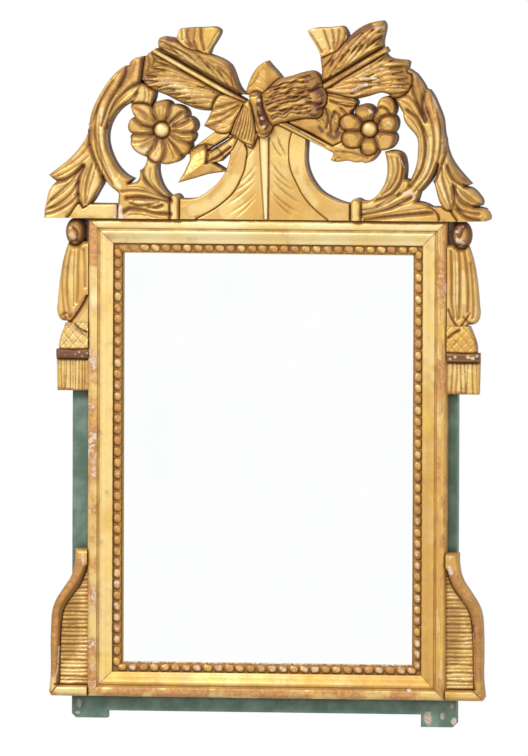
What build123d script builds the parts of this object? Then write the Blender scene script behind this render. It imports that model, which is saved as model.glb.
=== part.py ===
"""Giltwood wall mirror with a carved crest, side drops and scroll brackets.

Millimetres. X runs to the right, Z up, and the mirror faces -Y: the wall is the plane Y = 0.
Everything is drawn with Z = 0 at the top edge of the gilt frame. save() moves it so that the
origin is the point on the wall where the mirror hangs.
"""
from build123d import *
import os
from math import atan2, degrees

os.makedirs("parts", exist_ok=True)

# Gilt frame
frame_width = 435.0
frame_height = 576.0
moulding_width = 42.0
moulding_depth = 22.0
fillet_width = 12.0
groove_width = 2.0
groove_depth = 4.0
rebate_width = 6.0
rebate_depth = 5.0
lip_width = 2.0
lip_rise = 9.0

# Pearl course
slip_width = 10.0
slip_thickness = 3.0
pearl_radius = 4.3
pearl_pitch = 13.0

# Green back frame
chassis_thickness = 18.0
left_reveal = 21.0
right_reveal = 11.0
bottom_reveal = 18.0
top_rise = 14.0
foot_drop_left = 9.0
foot_drop_right = 15.0
foot_width = 43.0
foot_chamfer = 5.0
peg_radius = 3.0

# Glass and back
glass_thickness = 3.0
glass_clearance = 1.0
block_size = 8.0
block_length = 40.0
blocks_per_side = 4
blocks_per_end = 2
board_thickness = 6.0
board_rebate_width = 8.0
board_rebate_depth = 7.0
board_gap = 0.3
nail_radius = 0.8
nail_head_radius = 2.4
nail_head_thickness = 0.7
nail_length = 14.0
nail_spacing = 75.0
hole_clearance = 0.1

# Crest
plank_cover = 10.0
plank_back = 4.0
left_glue_line = -55.0
right_glue_line = 45.0
smallest_carving = 30.0
batten_width = 56.0
batten_top = 118.0
batten_foot = 26.0
screw_radius = 2.0
screw_head_radius = 3.8
screw_head_height = 2.2
crest_screw_length = 25.0
crest_screw_offset = 23.0
crest_screw_heights = (26.0, 104.0)

# Hanger
hanger_height = 62.0
housing_width = 36.0
housing_depth = 8.0
housing_above = 36.0
housing_below = 54.0
strap_width = 18.0
strap_length = 48.0
strap_thickness = 1.5
barrel_radius = 3.1
barrel_to_wall = 4.2
ring_wire_radius = 1.6
ring_clearance = 0.05
ring_half_width = 13.0
ring_leg = 14.0
ring_corner = 3.0
strap_screw_depths = (34.0, 43.0)
strap_screw_length = 8.0
strap_screw_head = 3.2
strap_screw_shank = 1.5

# Side drops, measured outwards from the edge of the gilt frame
drape_height = 19.0
tassel_height = 21.0
fringe_height = 15.0
knob_height = 24.0
knob_offset = 16.5
tassel_band_width = 39.0
tassel_band_top = -158.0
fringe_top = -169.5
fringe_bottom = -208.0
strand_count = 9
strand_groove = 1.6

# Brackets
panel_height = 15.0
roll_height = 22.0
base_width = 47.0
base_height = 14.0
reed_pitch = 9.6
reed_groove = 1.6
reed_top = 140.0

# Worked out from the sizes above
half_width = frame_width / 2
sight_inset = moulding_width - rebate_width
chassis_left = -half_width - left_reveal
chassis_right = half_width + right_reveal
opening_half = half_width - sight_inset
front_of_chassis = chassis_thickness
front_of_planks = chassis_thickness + plank_cover
slip_inset = moulding_width - lip_width - slip_width
slip_seat = lip_rise - 1.0
chassis_bottom = -frame_height - bottom_reveal
bore_radius = ring_wire_radius + ring_clearance
lap = chassis_thickness / 2
crest_scale = frame_width / 431  # the crest's outlines are drawn for a frame 431 wide
bracket_scale = base_width / 47  # the brackets' outlines are drawn for a base 47 wide
beyond = 1000.0  # further than any part of the mirror, for blocks that cut


def save(name, *solids):
    """Write one node, moved so that the hanging point is the origin."""
    moved = [Pos(0, 0, -hanger_height) * solid for solid in solids]
    parts = [solid for part in moved for solid in part.solids()]
    export_step(Compound(label=name, children=parts), "parts/" + name + ".step")


def block(x0, x1, z0, z1, back, front):
    """A straight piece between two distances in front of the wall."""
    size = Box(x1 - x0, front - back, z1 - z0)
    return Pos((x0 + x1) / 2, -(back + front) / 2, (z0 + z1) / 2) * size


def forward(face, back, height):
    """Raise a face drawn in front view from its back plane towards the viewer."""
    return extrude(Plane.XZ.offset(back) * face, amount=height)


def outline(*runs):
    """A closed face. Each run is a smooth curve through its points, or a straight edge through two."""
    edges = []
    for index, run in enumerate(runs):
        points = list(run)
        if points[-1] != runs[(index + 1) % len(runs)][0]:
            points.append(runs[(index + 1) % len(runs)][0])
        edges.append(Line(*points) if len(points) == 2 else Spline(*points))
    return make_face(edges)


def corners(*points):
    """A closed face with straight edges."""
    return make_face(Polyline(*points, close=True))


def oval(x, z, half_x, half_z, turn=0.0):
    return Pos(x, z) * Rot(0, 0, turn) * Ellipse(half_x, half_z)


def bar(start, end, width):
    """A straight bar between two points."""
    run = Vector(*end) - Vector(*start)
    middle = (Vector(*end) + Vector(*start)) / 2
    return Pos(middle.X, middle.Y) * Rot(0, 0, degrees(atan2(run.Y, run.X))) * Rectangle(run.length, width)


def spread(start, end, count):
    """Middles of equal shares of a length."""
    share = (end - start) / count
    return [start + share * (index + 0.5) for index in range(count)]


def mirrored(solids):
    return [mirror(solid, about=Plane.YZ) for solid in solids]


def rod(x, z, back, front, radius):
    """A round rod that runs square to the wall."""
    return forward(Pos(x, z) * Circle(radius), back, front - back)


def wood_screw(x, z, seat, shank, head, head_height, length):
    """A countersunk screw driven forward from its seat, with a slot across its head."""
    cone = Solid.make_cone(head, shank, head_height, Plane((x, -seat, z), z_dir=(0, -1, 0)))
    slot = block(x - head, x + head, z - 0.4, z + 0.4, seat - 1, seat + 0.8)
    return cone + rod(x, z, seat + head_height, seat + length, shank) - slot


def screw_hole(x, z, seat, shank, head, head_height, length):
    """The hole and countersink that the same screw fits."""
    gap = hole_clearance
    cone = Solid.make_cone(head + gap, shank + gap, head_height, Plane((x, -seat, z), z_dir=(0, -1, 0)))
    return cone + rod(x, z, seat + head_height, seat + length + gap, shank + gap)


# Gilt frame


def moulding_profile():
    """Section of the moulding: first number inwards from the outer edge, second forwards."""
    top = moulding_depth
    band = fillet_width + groove_width
    seat = slip_seat
    with BuildLine() as section:
        Polyline((0, 0), (0, top - 5))
        RadiusArc((0, top - 5), (5, top), 5)
        Polyline((5, top), (fillet_width - 2, top))
        RadiusArc((fillet_width - 2, top), (fillet_width, top - 2), 2)
        Polyline((fillet_width, top - 2), (fillet_width, top - groove_depth), (band, top - groove_depth))
        Spline((band, top - groove_depth), (band + 4, top - 1.5), (band + 9, top - 5), (slip_inset, seat + 7))
        Polyline(
            (slip_inset, seat + 7),
            (slip_inset, seat),
            (slip_inset + slip_width, seat),
            (slip_inset + slip_width, lip_rise),
            (moulding_width, lip_rise),
            (moulding_width, rebate_depth),
            (sight_inset, rebate_depth),
            (sight_inset, 0),
            (0, 0),
        )
    return make_face(section.line)


def slip_profile():
    inner = slip_inset + slip_width
    face = corners((slip_inset, 0), (slip_inset, slip_thickness), (inner, slip_thickness), (inner, 0))
    return Pos(0, slip_seat) * face


def side_run(profile, length):
    """Run a section along one side. The side is drawn as a top side with its outer edge at Z = 0."""
    plane = Plane((-length / 2, -front_of_chassis, 0), x_dir=(0, 0, -1), z_dir=(1, 0, 0))
    return extrude(plane * mirror(profile, about=Plane.XZ), amount=length)


def mitred(solid, length):
    """Cut a top side to its mitres."""
    half = length / 2
    width = moulding_width
    prism = corners((-half, 0), (half, 0), (half - width, -width), (-half + width, -width))
    return solid & forward(prism, 0, front_of_chassis + moulding_depth + pearl_radius)


def place_side(solid, side):
    """Turn a top side to its own side of the frame."""
    turn, x, z = {
        "top": (0, 0, 0),
        "right": (90, half_width, -frame_height / 2),
        "bottom": (180, 0, -frame_height),
        "left": (270, -half_width, -frame_height / 2),
    }[side]
    return Pos(x, 0, z) * Rot(0, turn, 0) * solid


def pearl_slip(length):
    """A thin slip with its row of pearls, spaced evenly from corner to corner."""
    middle = slip_inset + slip_width / 2
    row = length - 2 * middle
    slip = mitred(side_run(slip_profile(), length), length)
    top = front_of_chassis + slip_seat + slip_thickness
    places = spread(-row / 2, row / 2, round(row / pearl_pitch))
    pearls = [Pos(x, -top, -middle) * Sphere(pearl_radius) for x in places]
    under = block(-beyond, beyond, -beyond, beyond, 0, top - slip_thickness / 2)
    return slip + [pearl - under for pearl in pearls]


def gilt_frame():
    for side in ("top", "right", "bottom", "left"):
        length = frame_width if side in ("top", "bottom") else frame_height
        save("moulding_" + side, place_side(mitred(side_run(moulding_profile(), length), length), side))
        save("pearls_" + side, place_side(pearl_slip(length), side))


# Green back frame


def board_rebate():
    half = opening_half + board_rebate_width
    rim = sight_inset - board_rebate_width
    return block(-half, half, -frame_height + rim, -rim, -1, board_rebate_depth)


def nail_places():
    """A row of nails round the edge of the two back boards."""
    half = opening_half + board_rebate_width / 2
    ends = (-sight_inset + board_rebate_width / 2, -frame_height + sight_inset - board_rebate_width / 2)
    up = spread(ends[0], ends[1], round((ends[0] - ends[1]) / nail_spacing))
    along = spread(-half, half, round(2 * half / nail_spacing))
    return [(x, z) for x in (-half, half) for z in up] + [(x, z) for z in ends for x in along]


def nail_holes():
    return [
        rod(x, z, board_rebate_depth - board_thickness - 1, nail_length + 2, nail_radius + hole_clearance)
        for x, z in nail_places()
    ]


def peg_places():
    """Two pegs in each corner joint."""
    rows = (top_rise - 15, -sight_inset + 15, -frame_height + sight_inset - 15, chassis_bottom + 15)
    left = (-opening_half - 15, chassis_left + 15)
    right = (opening_half + 15, chassis_right - 15)
    return [(x, z) for side in (left, right) for x, z in zip(side * 2, rows)]


def peg_holes():
    return [rod(x, z, -1, chassis_thickness + 1, peg_radius) for x, z in peg_places()]


def foot(edge, inward, drop):
    """The lower end of a stile, with its outer corner cut off."""
    inner = edge + inward * foot_width
    low = chassis_bottom - drop
    face = corners(
        (inner, chassis_bottom),
        (inner, low),
        (edge + inward * foot_chamfer, low),
        (edge, low + foot_chamfer),
        (edge, chassis_bottom),
    )
    return forward(face, 0, chassis_thickness)


def chassis():
    bore = nail_holes() + peg_holes()
    top_z = (-sight_inset, top_rise)
    low_z = (chassis_bottom, -frame_height + sight_inset)
    stiles = (
        ("left", chassis_left, -opening_half, foot_drop_left),
        ("right", chassis_right, opening_half, foot_drop_right),
    )
    for name, edge, inner, drop in stiles:
        x0, x1 = sorted((inner, edge))
        inward = 1 if edge < inner else -1
        stile = block(x0, x1, chassis_bottom, top_rise, 0, chassis_thickness) + foot(edge, inward, drop)
        laps = [block(x0, x1, z0, z1, lap, chassis_thickness) for z0, z1 in (top_z, low_z)]
        save("chassis_stile_" + name, stile - laps - board_rebate() - bore)
    for (z0, z1), name in ((top_z, "top"), (low_z, "bottom")):
        rail = block(chassis_left, chassis_right, z0, z1, 0, chassis_thickness)
        laps = [
            block(-beyond, -opening_half, z0, z1, 0, lap),
            block(opening_half, beyond, z0, z1, 0, lap),
        ]
        if name == "top":
            laps.append(block(-batten_width / 2, batten_width / 2, -batten_foot, top_rise, 0, lap))
            bore = bore + [strap_screw(screw_hole, drop) for drop in strap_screw_depths]
        save("chassis_" + name + "_rail", rail - laps - board_rebate() - bore)
    save("chassis_pegs", *[rod(x, z, 0, chassis_thickness, peg_radius) for x, z in peg_places()])


# Glass and back


def glass_and_back():
    half = opening_half - glass_clearance
    top = -sight_inset - glass_clearance
    low = -frame_height + sight_inset + glass_clearance
    face = front_of_chassis + rebate_depth
    back = face - glass_thickness
    save("mirror_glass", block(-half, half, low, top, back, face))

    blocks = []
    for side in (-1, 1):
        x0, x1 = sorted((side * opening_half, side * (opening_half - block_size)))
        for z in spread(top, low, blocks_per_side):
            blocks.append(block(x0, x1, z - block_length / 2, z + block_length / 2, back - block_size, back))
    for x in spread(-half, half, blocks_per_end):
        for z0, z1 in (
            (-sight_inset - block_size, -sight_inset),
            (-frame_height + sight_inset, -frame_height + sight_inset + block_size),
        ):
            blocks.append(block(x - block_length / 2, x + block_length / 2, z0, z1, back - block_size, back))
    save("glazing_blocks", *blocks)

    overlap = board_rebate_width - board_gap
    edge = opening_half + overlap
    ends = (-sight_inset + overlap, -frame_height + sight_inset - overlap)
    middle = -frame_height / 2
    board_back = board_rebate_depth - board_thickness
    holes = nail_holes()
    upper = block(-edge, edge, middle + board_gap / 2, ends[0], board_back, board_rebate_depth)
    lower = block(-edge, edge, ends[1], middle - board_gap / 2, board_back, board_rebate_depth)
    save("back_board_upper", upper - holes)
    save("back_board_lower", lower - holes)
    nails = [
        rod(x, z, board_back - nail_head_thickness, board_back, nail_head_radius)
        + rod(x, z, board_back, nail_length, nail_radius)
        for x, z in nail_places()
    ]
    save("back_nails", *nails)


# Crest support and hanger


def crest_screw_places():
    return [(side * crest_screw_offset, z) for side in (-1, 1) for z in crest_screw_heights]


def crest_screw(make, x, z):
    return make(x, z, 0, screw_radius, screw_head_radius, screw_head_height, crest_screw_length)


def strap_screw(make, drop):
    """A screw of the hanger's strap. Its head lies flush in the strap."""
    seat = housing_depth - strap_thickness
    z = hanger_height - drop
    return make(0, z, seat, strap_screw_shank, strap_screw_head, strap_thickness, strap_screw_length)


def crest_support():
    half = batten_width / 2
    batten = block(-half, half, -batten_foot, batten_top, 0, chassis_thickness)
    batten -= block(-half, half, -batten_foot, top_rise, lap, chassis_thickness)
    side = housing_width / 2
    low = hanger_height - housing_below
    batten -= block(-side, side, low, hanger_height + housing_above, -1, housing_depth)
    batten -= [crest_screw(screw_hole, x, z) for x, z in crest_screw_places()]
    batten -= [strap_screw(screw_hole, drop) for drop in strap_screw_depths]
    save("crest_batten", batten)
    save("crest_screws", *[crest_screw(wood_screw, x, z) for x, z in crest_screw_places()])


def ring_path():
    """The D of the ring: a straight bar in the barrel, two legs and a half circle below."""
    w, c, leg = ring_half_width, ring_corner, ring_leg
    with BuildLine(Plane.XZ.offset(barrel_to_wall)) as path:
        Line((0, 0), (w - c, 0))
        RadiusArc((w - c, 0), (w, -c), c)
        Line((w, -c), (w, -leg))
        ThreePointArc((w, -leg), (0, -leg - w), (-w, -leg))
        Line((-w, -leg), (-w, -c))
        RadiusArc((-w, -c), (-w + c, 0), c)
        Line((-w + c, 0), (0, 0))
    return Pos(0, 0, hanger_height) * path.line


def hanger():
    z = hanger_height
    seat = housing_depth
    strap = block(-strap_width / 2, strap_width / 2, z - strap_length, z + 1, seat - strap_thickness, seat)
    axle = Plane((-strap_width / 2, -barrel_to_wall, z), z_dir=(1, 0, 0))
    strap += extrude(axle * Circle(barrel_radius), amount=strap_width)
    strap -= extrude(axle * Circle(bore_radius), amount=strap_width)
    strap -= [strap_screw(screw_hole, drop) for drop in strap_screw_depths]
    save("hanger_strap", strap)
    section = Plane((0, -barrel_to_wall, z), z_dir=(1, 0, 0)) * Circle(ring_wire_radius)
    save("hanger_ring", sweep(section, path=ring_path()))
    save("hanger_screws", *[strap_screw(wood_screw, drop) for drop in strap_screw_depths])


# Crest outlines: X from the middle of the frame, Z above its top edge

band_left_outer = [
    (-27, 88), (-25, 83), (-26, 71), (-28, 59), (-33, 47), (-40, 34), (-51.5, 22), (-63.5, 13),
    (-87.5, 0),
]
band_left_inner = [
    (-105, 24), (-93.5, 24), (-83.5, 26), (-73, 32), (-64, 39), (-51.5, 54.5), (-45.5, 71),
    (-44.5, 90),
]
band_right_outer = [
    (31, 106), (27, 95), (26, 82), (26.5, 69), (29.5, 57), (35.5, 44), (43.5, 29), (53.5, 17),
    (74.5, 0),
]
band_right_inner = [
    (99, 20), (87.5, 22), (75.5, 27), (65, 33), (56.5, 42), (50.5, 52), (46, 66), (45.5, 80),
    (46.5, 96),
]


def peak():
    return outline(
        [(-28, 148), (-24.5, 160), (-14.5, 179.5), (-2, 188.5)],
        [(-2, 188.5), (8, 177), (16.5, 166), (18.5, 148)],
        [(18.5, 148), (-28, 148)],
    )


def sheaf():
    return outline(
        [(-7, 149), (5, 160), (15.5, 168), (27, 171), (39, 175), (48.5, 177)],
        [(48.5, 177), (56.5, 175), (61.5, 170), (64.5, 165), (66.5, 158)],
        [(66.5, 158), (70.5, 151), (71, 143), (69.5, 138), (65, 134)],
        [(65, 134), (66, 128), (61.5, 122.5), (51.5, 121.5), (27, 118), (6, 112)],
        [(6, 112), (-3, 128), (-7, 149)],
    )


def binding():
    return outline(
        [(-22, 147), (-15.5, 152), (-7, 149.5), (-1, 138), (4, 126), (6.5, 113), (3, 104), (-3, 98)],
        [(-3, 98), (-9, 98.5), (-13, 108), (-14.5, 118), (-17.5, 132), (-22, 147)],
    )


def tassel_end():
    return outline(
        [(-27, 139), (-33, 128), (-38, 118), (-43.5, 101)],
        [(-43.5, 101), (-35, 96), (-28, 91), (-19.5, 85)],
        [(-19.5, 85), (-13, 96), (-8, 108), (-10, 132), (-18.5, 142), (-27, 139)],
    )


def cloth_fold():
    return outline(
        [(-46.5, 147), (-59.5, 146), (-67, 130), (-70.5, 122), (-76.5, 111)],
        [(-76.5, 111), (-66, 106), (-58.5, 103), (-46.5, 103)],
        [(-46.5, 103), (-38, 112), (-32, 131), (-28, 140)],
        [(-28, 140), (-46.5, 147)],
    )


def rosette_left():
    """Eleven petals, each a little different, as the carver left them."""
    return outline(
        [(-164.5, 135), (-155.5, 137), (-145.5, 136), (-138, 133)],
        [(-138, 133), (-134.5, 138.5), (-127.5, 141), (-120, 140), (-116, 136)],
        [(-116, 136), (-108, 135.5), (-101, 132.5), (-96.5, 127), (-96, 122)],
        [(-96, 122), (-90, 119.5), (-86, 113.5), (-86.5, 107), (-89.5, 103)],
        [(-89.5, 103), (-88, 98.5), (-90.5, 92.5), (-93, 89.5)],
        [(-93, 89.5), (-92.5, 83.5), (-96.5, 77.5), (-102, 75)],
        [(-102, 75), (-107, 69), (-115.5, 65.5), (-125, 65), (-128.5, 66.5)],
        [(-128.5, 66.5), (-136, 68), (-143, 72.5)],
        [(-143, 72.5), (-154, 77), (-160.5, 82), (-164.5, 89.5), (-164.5, 94)],
        [(-164.5, 94), (-165, 98), (-162.5, 101)],
        [(-162.5, 101), (-167, 105.5), (-167, 113), (-164.5, 118), (-160, 121)],
        [(-160, 121), (-163, 129), (-164.5, 135)],
    )


def rosette_right():
    """Six broad petals, with a bud behind the upper right one."""
    return outline(
        [(106.5, 124), (104.5, 130), (108, 136), (115.5, 138.5), (122.5, 137), (127.5, 131.5)],
        [(127.5, 131.5), (130.5, 130)],
        [
            (130.5, 130), (131, 136), (134, 143.5), (139.5, 147.5), (147, 146.5), (151.5, 141),
            (153, 134), (150.5, 125.5),
        ],
        [(150.5, 125.5), (154.5, 119.5), (154.5, 112), (150.5, 104.5)],
        [(150.5, 104.5), (153.5, 99), (152, 92), (147, 86), (139.5, 83.5), (132.5, 84.5)],
        [(132.5, 84.5), (127.5, 79), (121.5, 77), (115.5, 79), (112, 87)],
        [(112, 87), (104.5, 86), (96, 87), (90.5, 92.5), (90, 100), (94, 106)],
        [(94, 106), (89, 110), (87, 117), (91, 123.5), (98.5, 126), (106.5, 124)],
    )


def leaf_sprig():
    """Leaves that fill the space between the sheaf, the right fletching and the right rosette."""
    return corners(
        (21, 124), (60, 153), (75.5, 150.5), (103.5, 145), (106.5, 140), (104.5, 134), (99.5, 129),
        (97.5, 117), (102, 86), (85, 84.5), (54, 102.5), (27, 114.5),
    )


def arrow_one():
    """Runs from upper left to lower right. Its head's barb shows under the right rosette."""
    shaft = bar((-137, 200), (-27, 138.5), 5.5) + bar((9, 119), (83, 82), 6.5)
    barb = outline(
        [(76.5, 87), (79, 81.5), (76, 72)],
        [(76, 72), (89, 70), (96, 71), (103.5, 69.5), (113, 70)],
        [(113, 70), (119, 68.5), (125, 71.5), (133.5, 84.5)],
        [(133.5, 84.5), (93.5, 95.5)],
        [(93.5, 95.5), (76.5, 87)],
    )
    return shaft + barb


def arrow_two():
    """Runs from upper right to lower left, with its head at the lower left."""
    shaft = bar((141.5, 203.5), (64, 157), 6.5)
    lower = corners(
        (-72.5, 80), (-41.5, 99), (-35.5, 95.5), (-41.5, 83.5), (-48.5, 77.5), (-57.5, 68.5),
        (-66, 67), (-73.5, 65.5),
    )
    broad = corners(
        (-94, 81.5), (-74.5, 95.5), (-61, 106), (-43, 107.5), (-46.5, 98.5), (-72.5, 82),
    )
    head = corners(
        (-107, 43), (-99.5, 56.5), (-93.5, 70), (-94, 81.5), (-81.5, 89.5), (-72.5, 82),
        (-73.5, 66), (-66, 67), (-60, 63.5), (-49, 57), (-72, 53.5), (-91, 47.5),
    )
    return shaft + lower + broad + head


def fletching_left():
    upper = outline(
        [
            (-127, 216.5), (-118.5, 215.5), (-110.5, 213), (-103, 206), (-86.5, 200), (-66, 194),
            (-53.5, 188.5), (-46.5, 183),
        ],
        [(-46.5, 183), (-42, 174), (-38.5, 164), (-34, 155), (-26, 149)],
        [(-26, 149), (-45.5, 146)],
        [(-45.5, 146), (-130, 197)],
        [(-130, 197), (-132.5, 206), (-132, 213), (-127, 216.5)],
    )
    lower = outline(
        [(-136, 201), (-143, 197.5), (-148.5, 191)],
        [(-148.5, 191), (-150.5, 178), (-150.5, 165), (-143, 156), (-129, 149.5), (-115.5, 143.5)],
        [(-115.5, 143.5), (-102, 137), (-89.5, 132), (-68.5, 129)],
        [(-68.5, 129), (-40, 138)],
        [(-40, 138), (-45.5, 150)],
        [(-45.5, 150), (-136, 201)],
    )
    return upper + lower


def fletching_right():
    upper = outline(
        [
            (62, 192.5), (69.5, 195), (81.5, 201), (95, 216), (107, 227.5), (118, 233.5),
            (128.5, 236.5), (136, 237),
        ],
        [(136, 237), (139, 232), (138.5, 224), (136, 210.5), (138.5, 202)],
        [(138.5, 202), (112, 184), (62, 152)],
        [(62, 152), (64, 174.5), (62, 192.5)],
    )
    lower = outline(
        [(138.5, 203), (143, 194.5), (159, 191), (167.5, 188.5), (166.5, 181), (173, 175)],
        [(173, 175), (172, 160), (164.5, 150), (148.5, 146)],
        [(148.5, 146), (136, 152), (124, 149), (102, 144.5), (87.5, 147.5), (75.5, 149)],
        [(75.5, 149), (66, 155.5), (62, 165)],
        [(62, 165), (138.5, 203)],
    )
    return upper + lower


def ribbon_left():
    return outline(
        [
            (-107, 226), (-91, 227.5), (-75.5, 228), (-63, 227.5), (-59, 224), (-61, 216.5),
            (-67.5, 206), (-71.5, 195.5),
        ],
        [(-71.5, 195.5), (-70.5, 186.5)],
        [(-70.5, 186.5), (-104.5, 196)],
        [(-104.5, 196), (-110, 214), (-107, 226)],
    )


def ribbon_right():
    return outline(
        [(47, 225), (52.5, 227.5), (63.5, 228.5), (81.5, 230), (88, 230), (92, 226), (95, 218)],
        [(95, 218), (95, 196)],
        [(95, 196), (63.5, 190)],
        [(63.5, 190), (60, 202), (54, 212), (47, 225)],
    )


def scroll_left():
    curl = outline(
        [(-172, 181.5), (-188.5, 167.5), (-197, 155.5), (-206, 140), (-212, 125.5), (-214.5, 110)],
        [(-214.5, 110), (-214.5, 95.5), (-211, 81), (-206, 69), (-200.5, 56)],
        [(-200.5, 56), (-190.5, 40), (-178.5, 30.5)],
        [(-178.5, 30.5), (-168, 41), (-162, 47)],
        [
            (-162, 47), (-169, 50), (-179.5, 59), (-188.5, 74), (-193.5, 92), (-191.5, 109),
            (-183.5, 124), (-171, 135),
        ],
        [(-171, 135), (-163, 138.5), (-154, 157)],
        [(-154, 157), (-150.5, 175), (-149, 193)],
        [(-149, 193), (-158, 191.5), (-164, 188), (-167, 181.5)],
        [(-167, 181.5), (-172, 181.5)],
    )
    strap = corners((-166, 131.5), (-159, 146), (-154, 162.5), (-135.5, 153), (-137, 143.5), (-141.5, 129))
    return curl + strap


def scroll_right():
    return outline(
        [(162.5, 128), (168.5, 112), (179, 98.5), (180, 84.5), (179, 71.5), (171.5, 50)],
        [(171.5, 50), (173, 41), (181, 33)],
        [(181, 33), (192.5, 45), (200, 57), (205.5, 71), (208.5, 84), (212, 97)],
        [(212, 97), (209.5, 110), (208, 122), (204, 132.5), (199, 144.5), (192, 155.5)],
        [(192, 155.5), (188, 156.5)],
        [(188, 156.5), (183, 165.5), (176, 174.5)],
        [(176, 174.5), (168, 180)],
        [(168, 180), (151, 152.5)],
        [(151, 152.5), (156.5, 138), (162.5, 128)],
    )


def corner_leaves_left():
    return outline(
        [(-263, 51), (-250.5, 60.5), (-239, 70), (-226.5, 83.5), (-219.5, 94), (-214.5, 112)],
        [(-214.5, 112), (-201, 80), (-198, 50)],
        [(-198, 50), (-198, 44), (-203, 34), (-208.5, 24), (-213.5, 17), (-221.5, 11.5)],
        [(-221.5, 11.5), (-226.5, 17), (-234, 8), (-243.5, 0)],
        [(-243.5, 0), (-268, 0)],
        [(-268, 0), (-268, 9), (-266, 18), (-264, 28), (-260.5, 36), (-254, 43)],
        [(-254, 43), (-263, 51)],
    )


def corner_leaves_right():
    return outline(
        [(212, 97), (214.5, 83.5), (220, 71), (228, 60), (236, 51), (242.5, 44)],
        [(242.5, 44), (236, 41)],
        [(236, 41), (244.5, 38.5), (252, 31), (256, 24), (255, 18.5)],
        [(255, 18.5), (248.5, 17)],
        [(248.5, 17), (258, 15.5), (264.5, 11), (266.5, 4), (261.5, 0.5)],
        [(261.5, 0.5), (244.5, 0)],
        [(244.5, 0), (228, 0)],
        [(228, 0), (219.5, 11.5)],
        [(219.5, 11.5), (211, 15.5), (206, 23.5), (202.5, 35.5), (198, 47.5)],
        [(198, 47.5), (205.5, 71), (207, 83.5), (212, 97)],
    )


def acanthus_left():
    return outline(
        [(-178.5, 30.5), (-179.5, 16), (-180.5, 0)],
        [(-180.5, 0), (-105, 0)],
        [(-105, 0), (-105, 25)],
        [(-105, 25), (-110.5, 29.5), (-116.5, 26.5)],
        [(-116.5, 26.5), (-126, 36.5), (-131, 47.5), (-132, 66), (-129, 72)],
        [(-129, 72), (-145, 74)],
        [(-145, 74), (-147, 64), (-154, 57)],
        [(-154, 57), (-158, 44), (-168, 41), (-178.5, 30.5)],
    )


def acanthus_right():
    return outline(
        [(99, 20), (105, 26), (112.5, 23.5)],
        [(112.5, 23.5), (123, 24.5), (130, 29), (138, 39.5), (143, 54), (143.5, 66), (140.5, 82)],
        [(140.5, 82), (154, 83), (160, 80), (164, 71), (165, 60), (164, 50)],
        [(164, 50), (173, 46), (181.5, 33)],
        [(181.5, 33), (178.5, 23)],
        [(178.5, 23), (187.5, 21), (197, 16), (206.5, 5), (206.5, 0)],
        [(206.5, 0), (99, 0)],
        [(99, 0), (99, 20)],
    )


def band_left():
    return outline(
        band_left_outer,
        [(-87.5, 0), (-105, 0)],
        [(-105, 0), (-105, 24)],
        band_left_inner,
        [(-44.5, 90), (-46.5, 100)],
        [(-46.5, 100), (-30, 104)],
        [(-30, 104), (-27, 88)],
    )


def band_right():
    return outline(
        band_right_outer,
        [(74.5, 0), (99, 0)],
        [(99, 0), (99, 20)],
        band_right_inner,
        [(46.5, 96), (46.5, 112)],
        [(46.5, 112), (31, 112)],
        [(31, 112), (31, 106)],
    )


def pedestal():
    """The bell that fills the space between the two bands."""
    return outline(
        band_left_outer,
        [(-87.5, 0), (74.5, 0)],
        list(reversed(band_right_outer)),
        [(31, 106), (31, 120)],
        [(31, 120), (-30, 120)],
        [(-30, 120), (-27, 88)],
    )


def base_block(x0, x1, height):
    return corners((x0, 0), (x1, 0), (x1, height), (x0, height))


def carvings():
    """Node, front-view outline and height above the planks. A carving is cut by those before it."""
    return [
        ("sheaf", sheaf(), 22),
        ("binding", binding(), 23),
        ("tassel_end", tassel_end(), 20),
        ("rosette_left", rosette_left(), 18),
        ("rosette_right", rosette_right(), 18),
        ("cloth_fold", cloth_fold(), 17),
        ("arrow_one", arrow_one(), 16),
        ("leaf_sprig", leaf_sprig(), 14),
        ("arrow_two", arrow_two(), 16),
        ("fletching_left", fletching_left(), 14),
        ("fletching_right", fletching_right(), 14),
        ("peak", peak(), 12),
        ("ribbon_left", ribbon_left(), 10),
        ("ribbon_right", ribbon_right(), 10),
        ("band_left", band_left(), 14),
        ("band_right", band_right(), 14),
        ("pedestal", pedestal(), 12),
        ("acanthus_left", acanthus_left(), 18),
        ("acanthus_right", acanthus_right(), 18),
        ("corner_leaves_left", corner_leaves_left(), 18),
        ("corner_leaves_right", corner_leaves_right(), 18),
        ("scroll_left", scroll_left(), 16),
        ("scroll_right", scroll_right(), 16),
        ("base_blocks", base_block(-241, -179, 17) + base_block(175, 232, 17), 15),
    ]


def crest():
    above = []
    union = None
    for name, drawn, height in carvings():
        face = scale(drawn, by=crest_scale)
        left = face
        for upper in above:
            left = left - upper
        above.append(face)
        union = face if union is None else union + face
        kept = [part for part in left.faces() if part.area > smallest_carving * crest_scale**2]
        save(name, *[forward(part, front_of_planks, height) for part in kept])
    planks = forward(union, plank_back, front_of_planks - plank_back)
    planks -= block(-beyond, beyond, -beyond, top_rise, 0, chassis_thickness)
    planks -= block(-batten_width / 2, batten_width / 2, 0, batten_top, 0, chassis_thickness)
    holes = [crest_screw(screw_hole, x, z) for x, z in crest_screw_places()]
    limits = (-beyond, left_glue_line * crest_scale, right_glue_line * crest_scale, beyond)
    for index, name in enumerate(("left", "centre", "right")):
        plank = planks & block(limits[index], limits[index + 1], -beyond, beyond, 0, beyond)
        save("crest_board_" + name, plank - holes)


# Side drops and brackets, drawn on the right-hand side


def knob():
    return oval(half_width + knob_offset, -17, 12, 17)


def drape():
    face = outline(
        [(0, -28), (25, -30)],
        [(25, -30), (31, -49), (35.5, -75), (38, -103)],
        [(38, -103), (37.5, -117), (34.5, -122), (27.5, -124)],
        [(27.5, -124), (12, -131), (0, -136)],
        [(0, -136), (0, -28)],
    )
    return Pos(half_width, 0) * face


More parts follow.
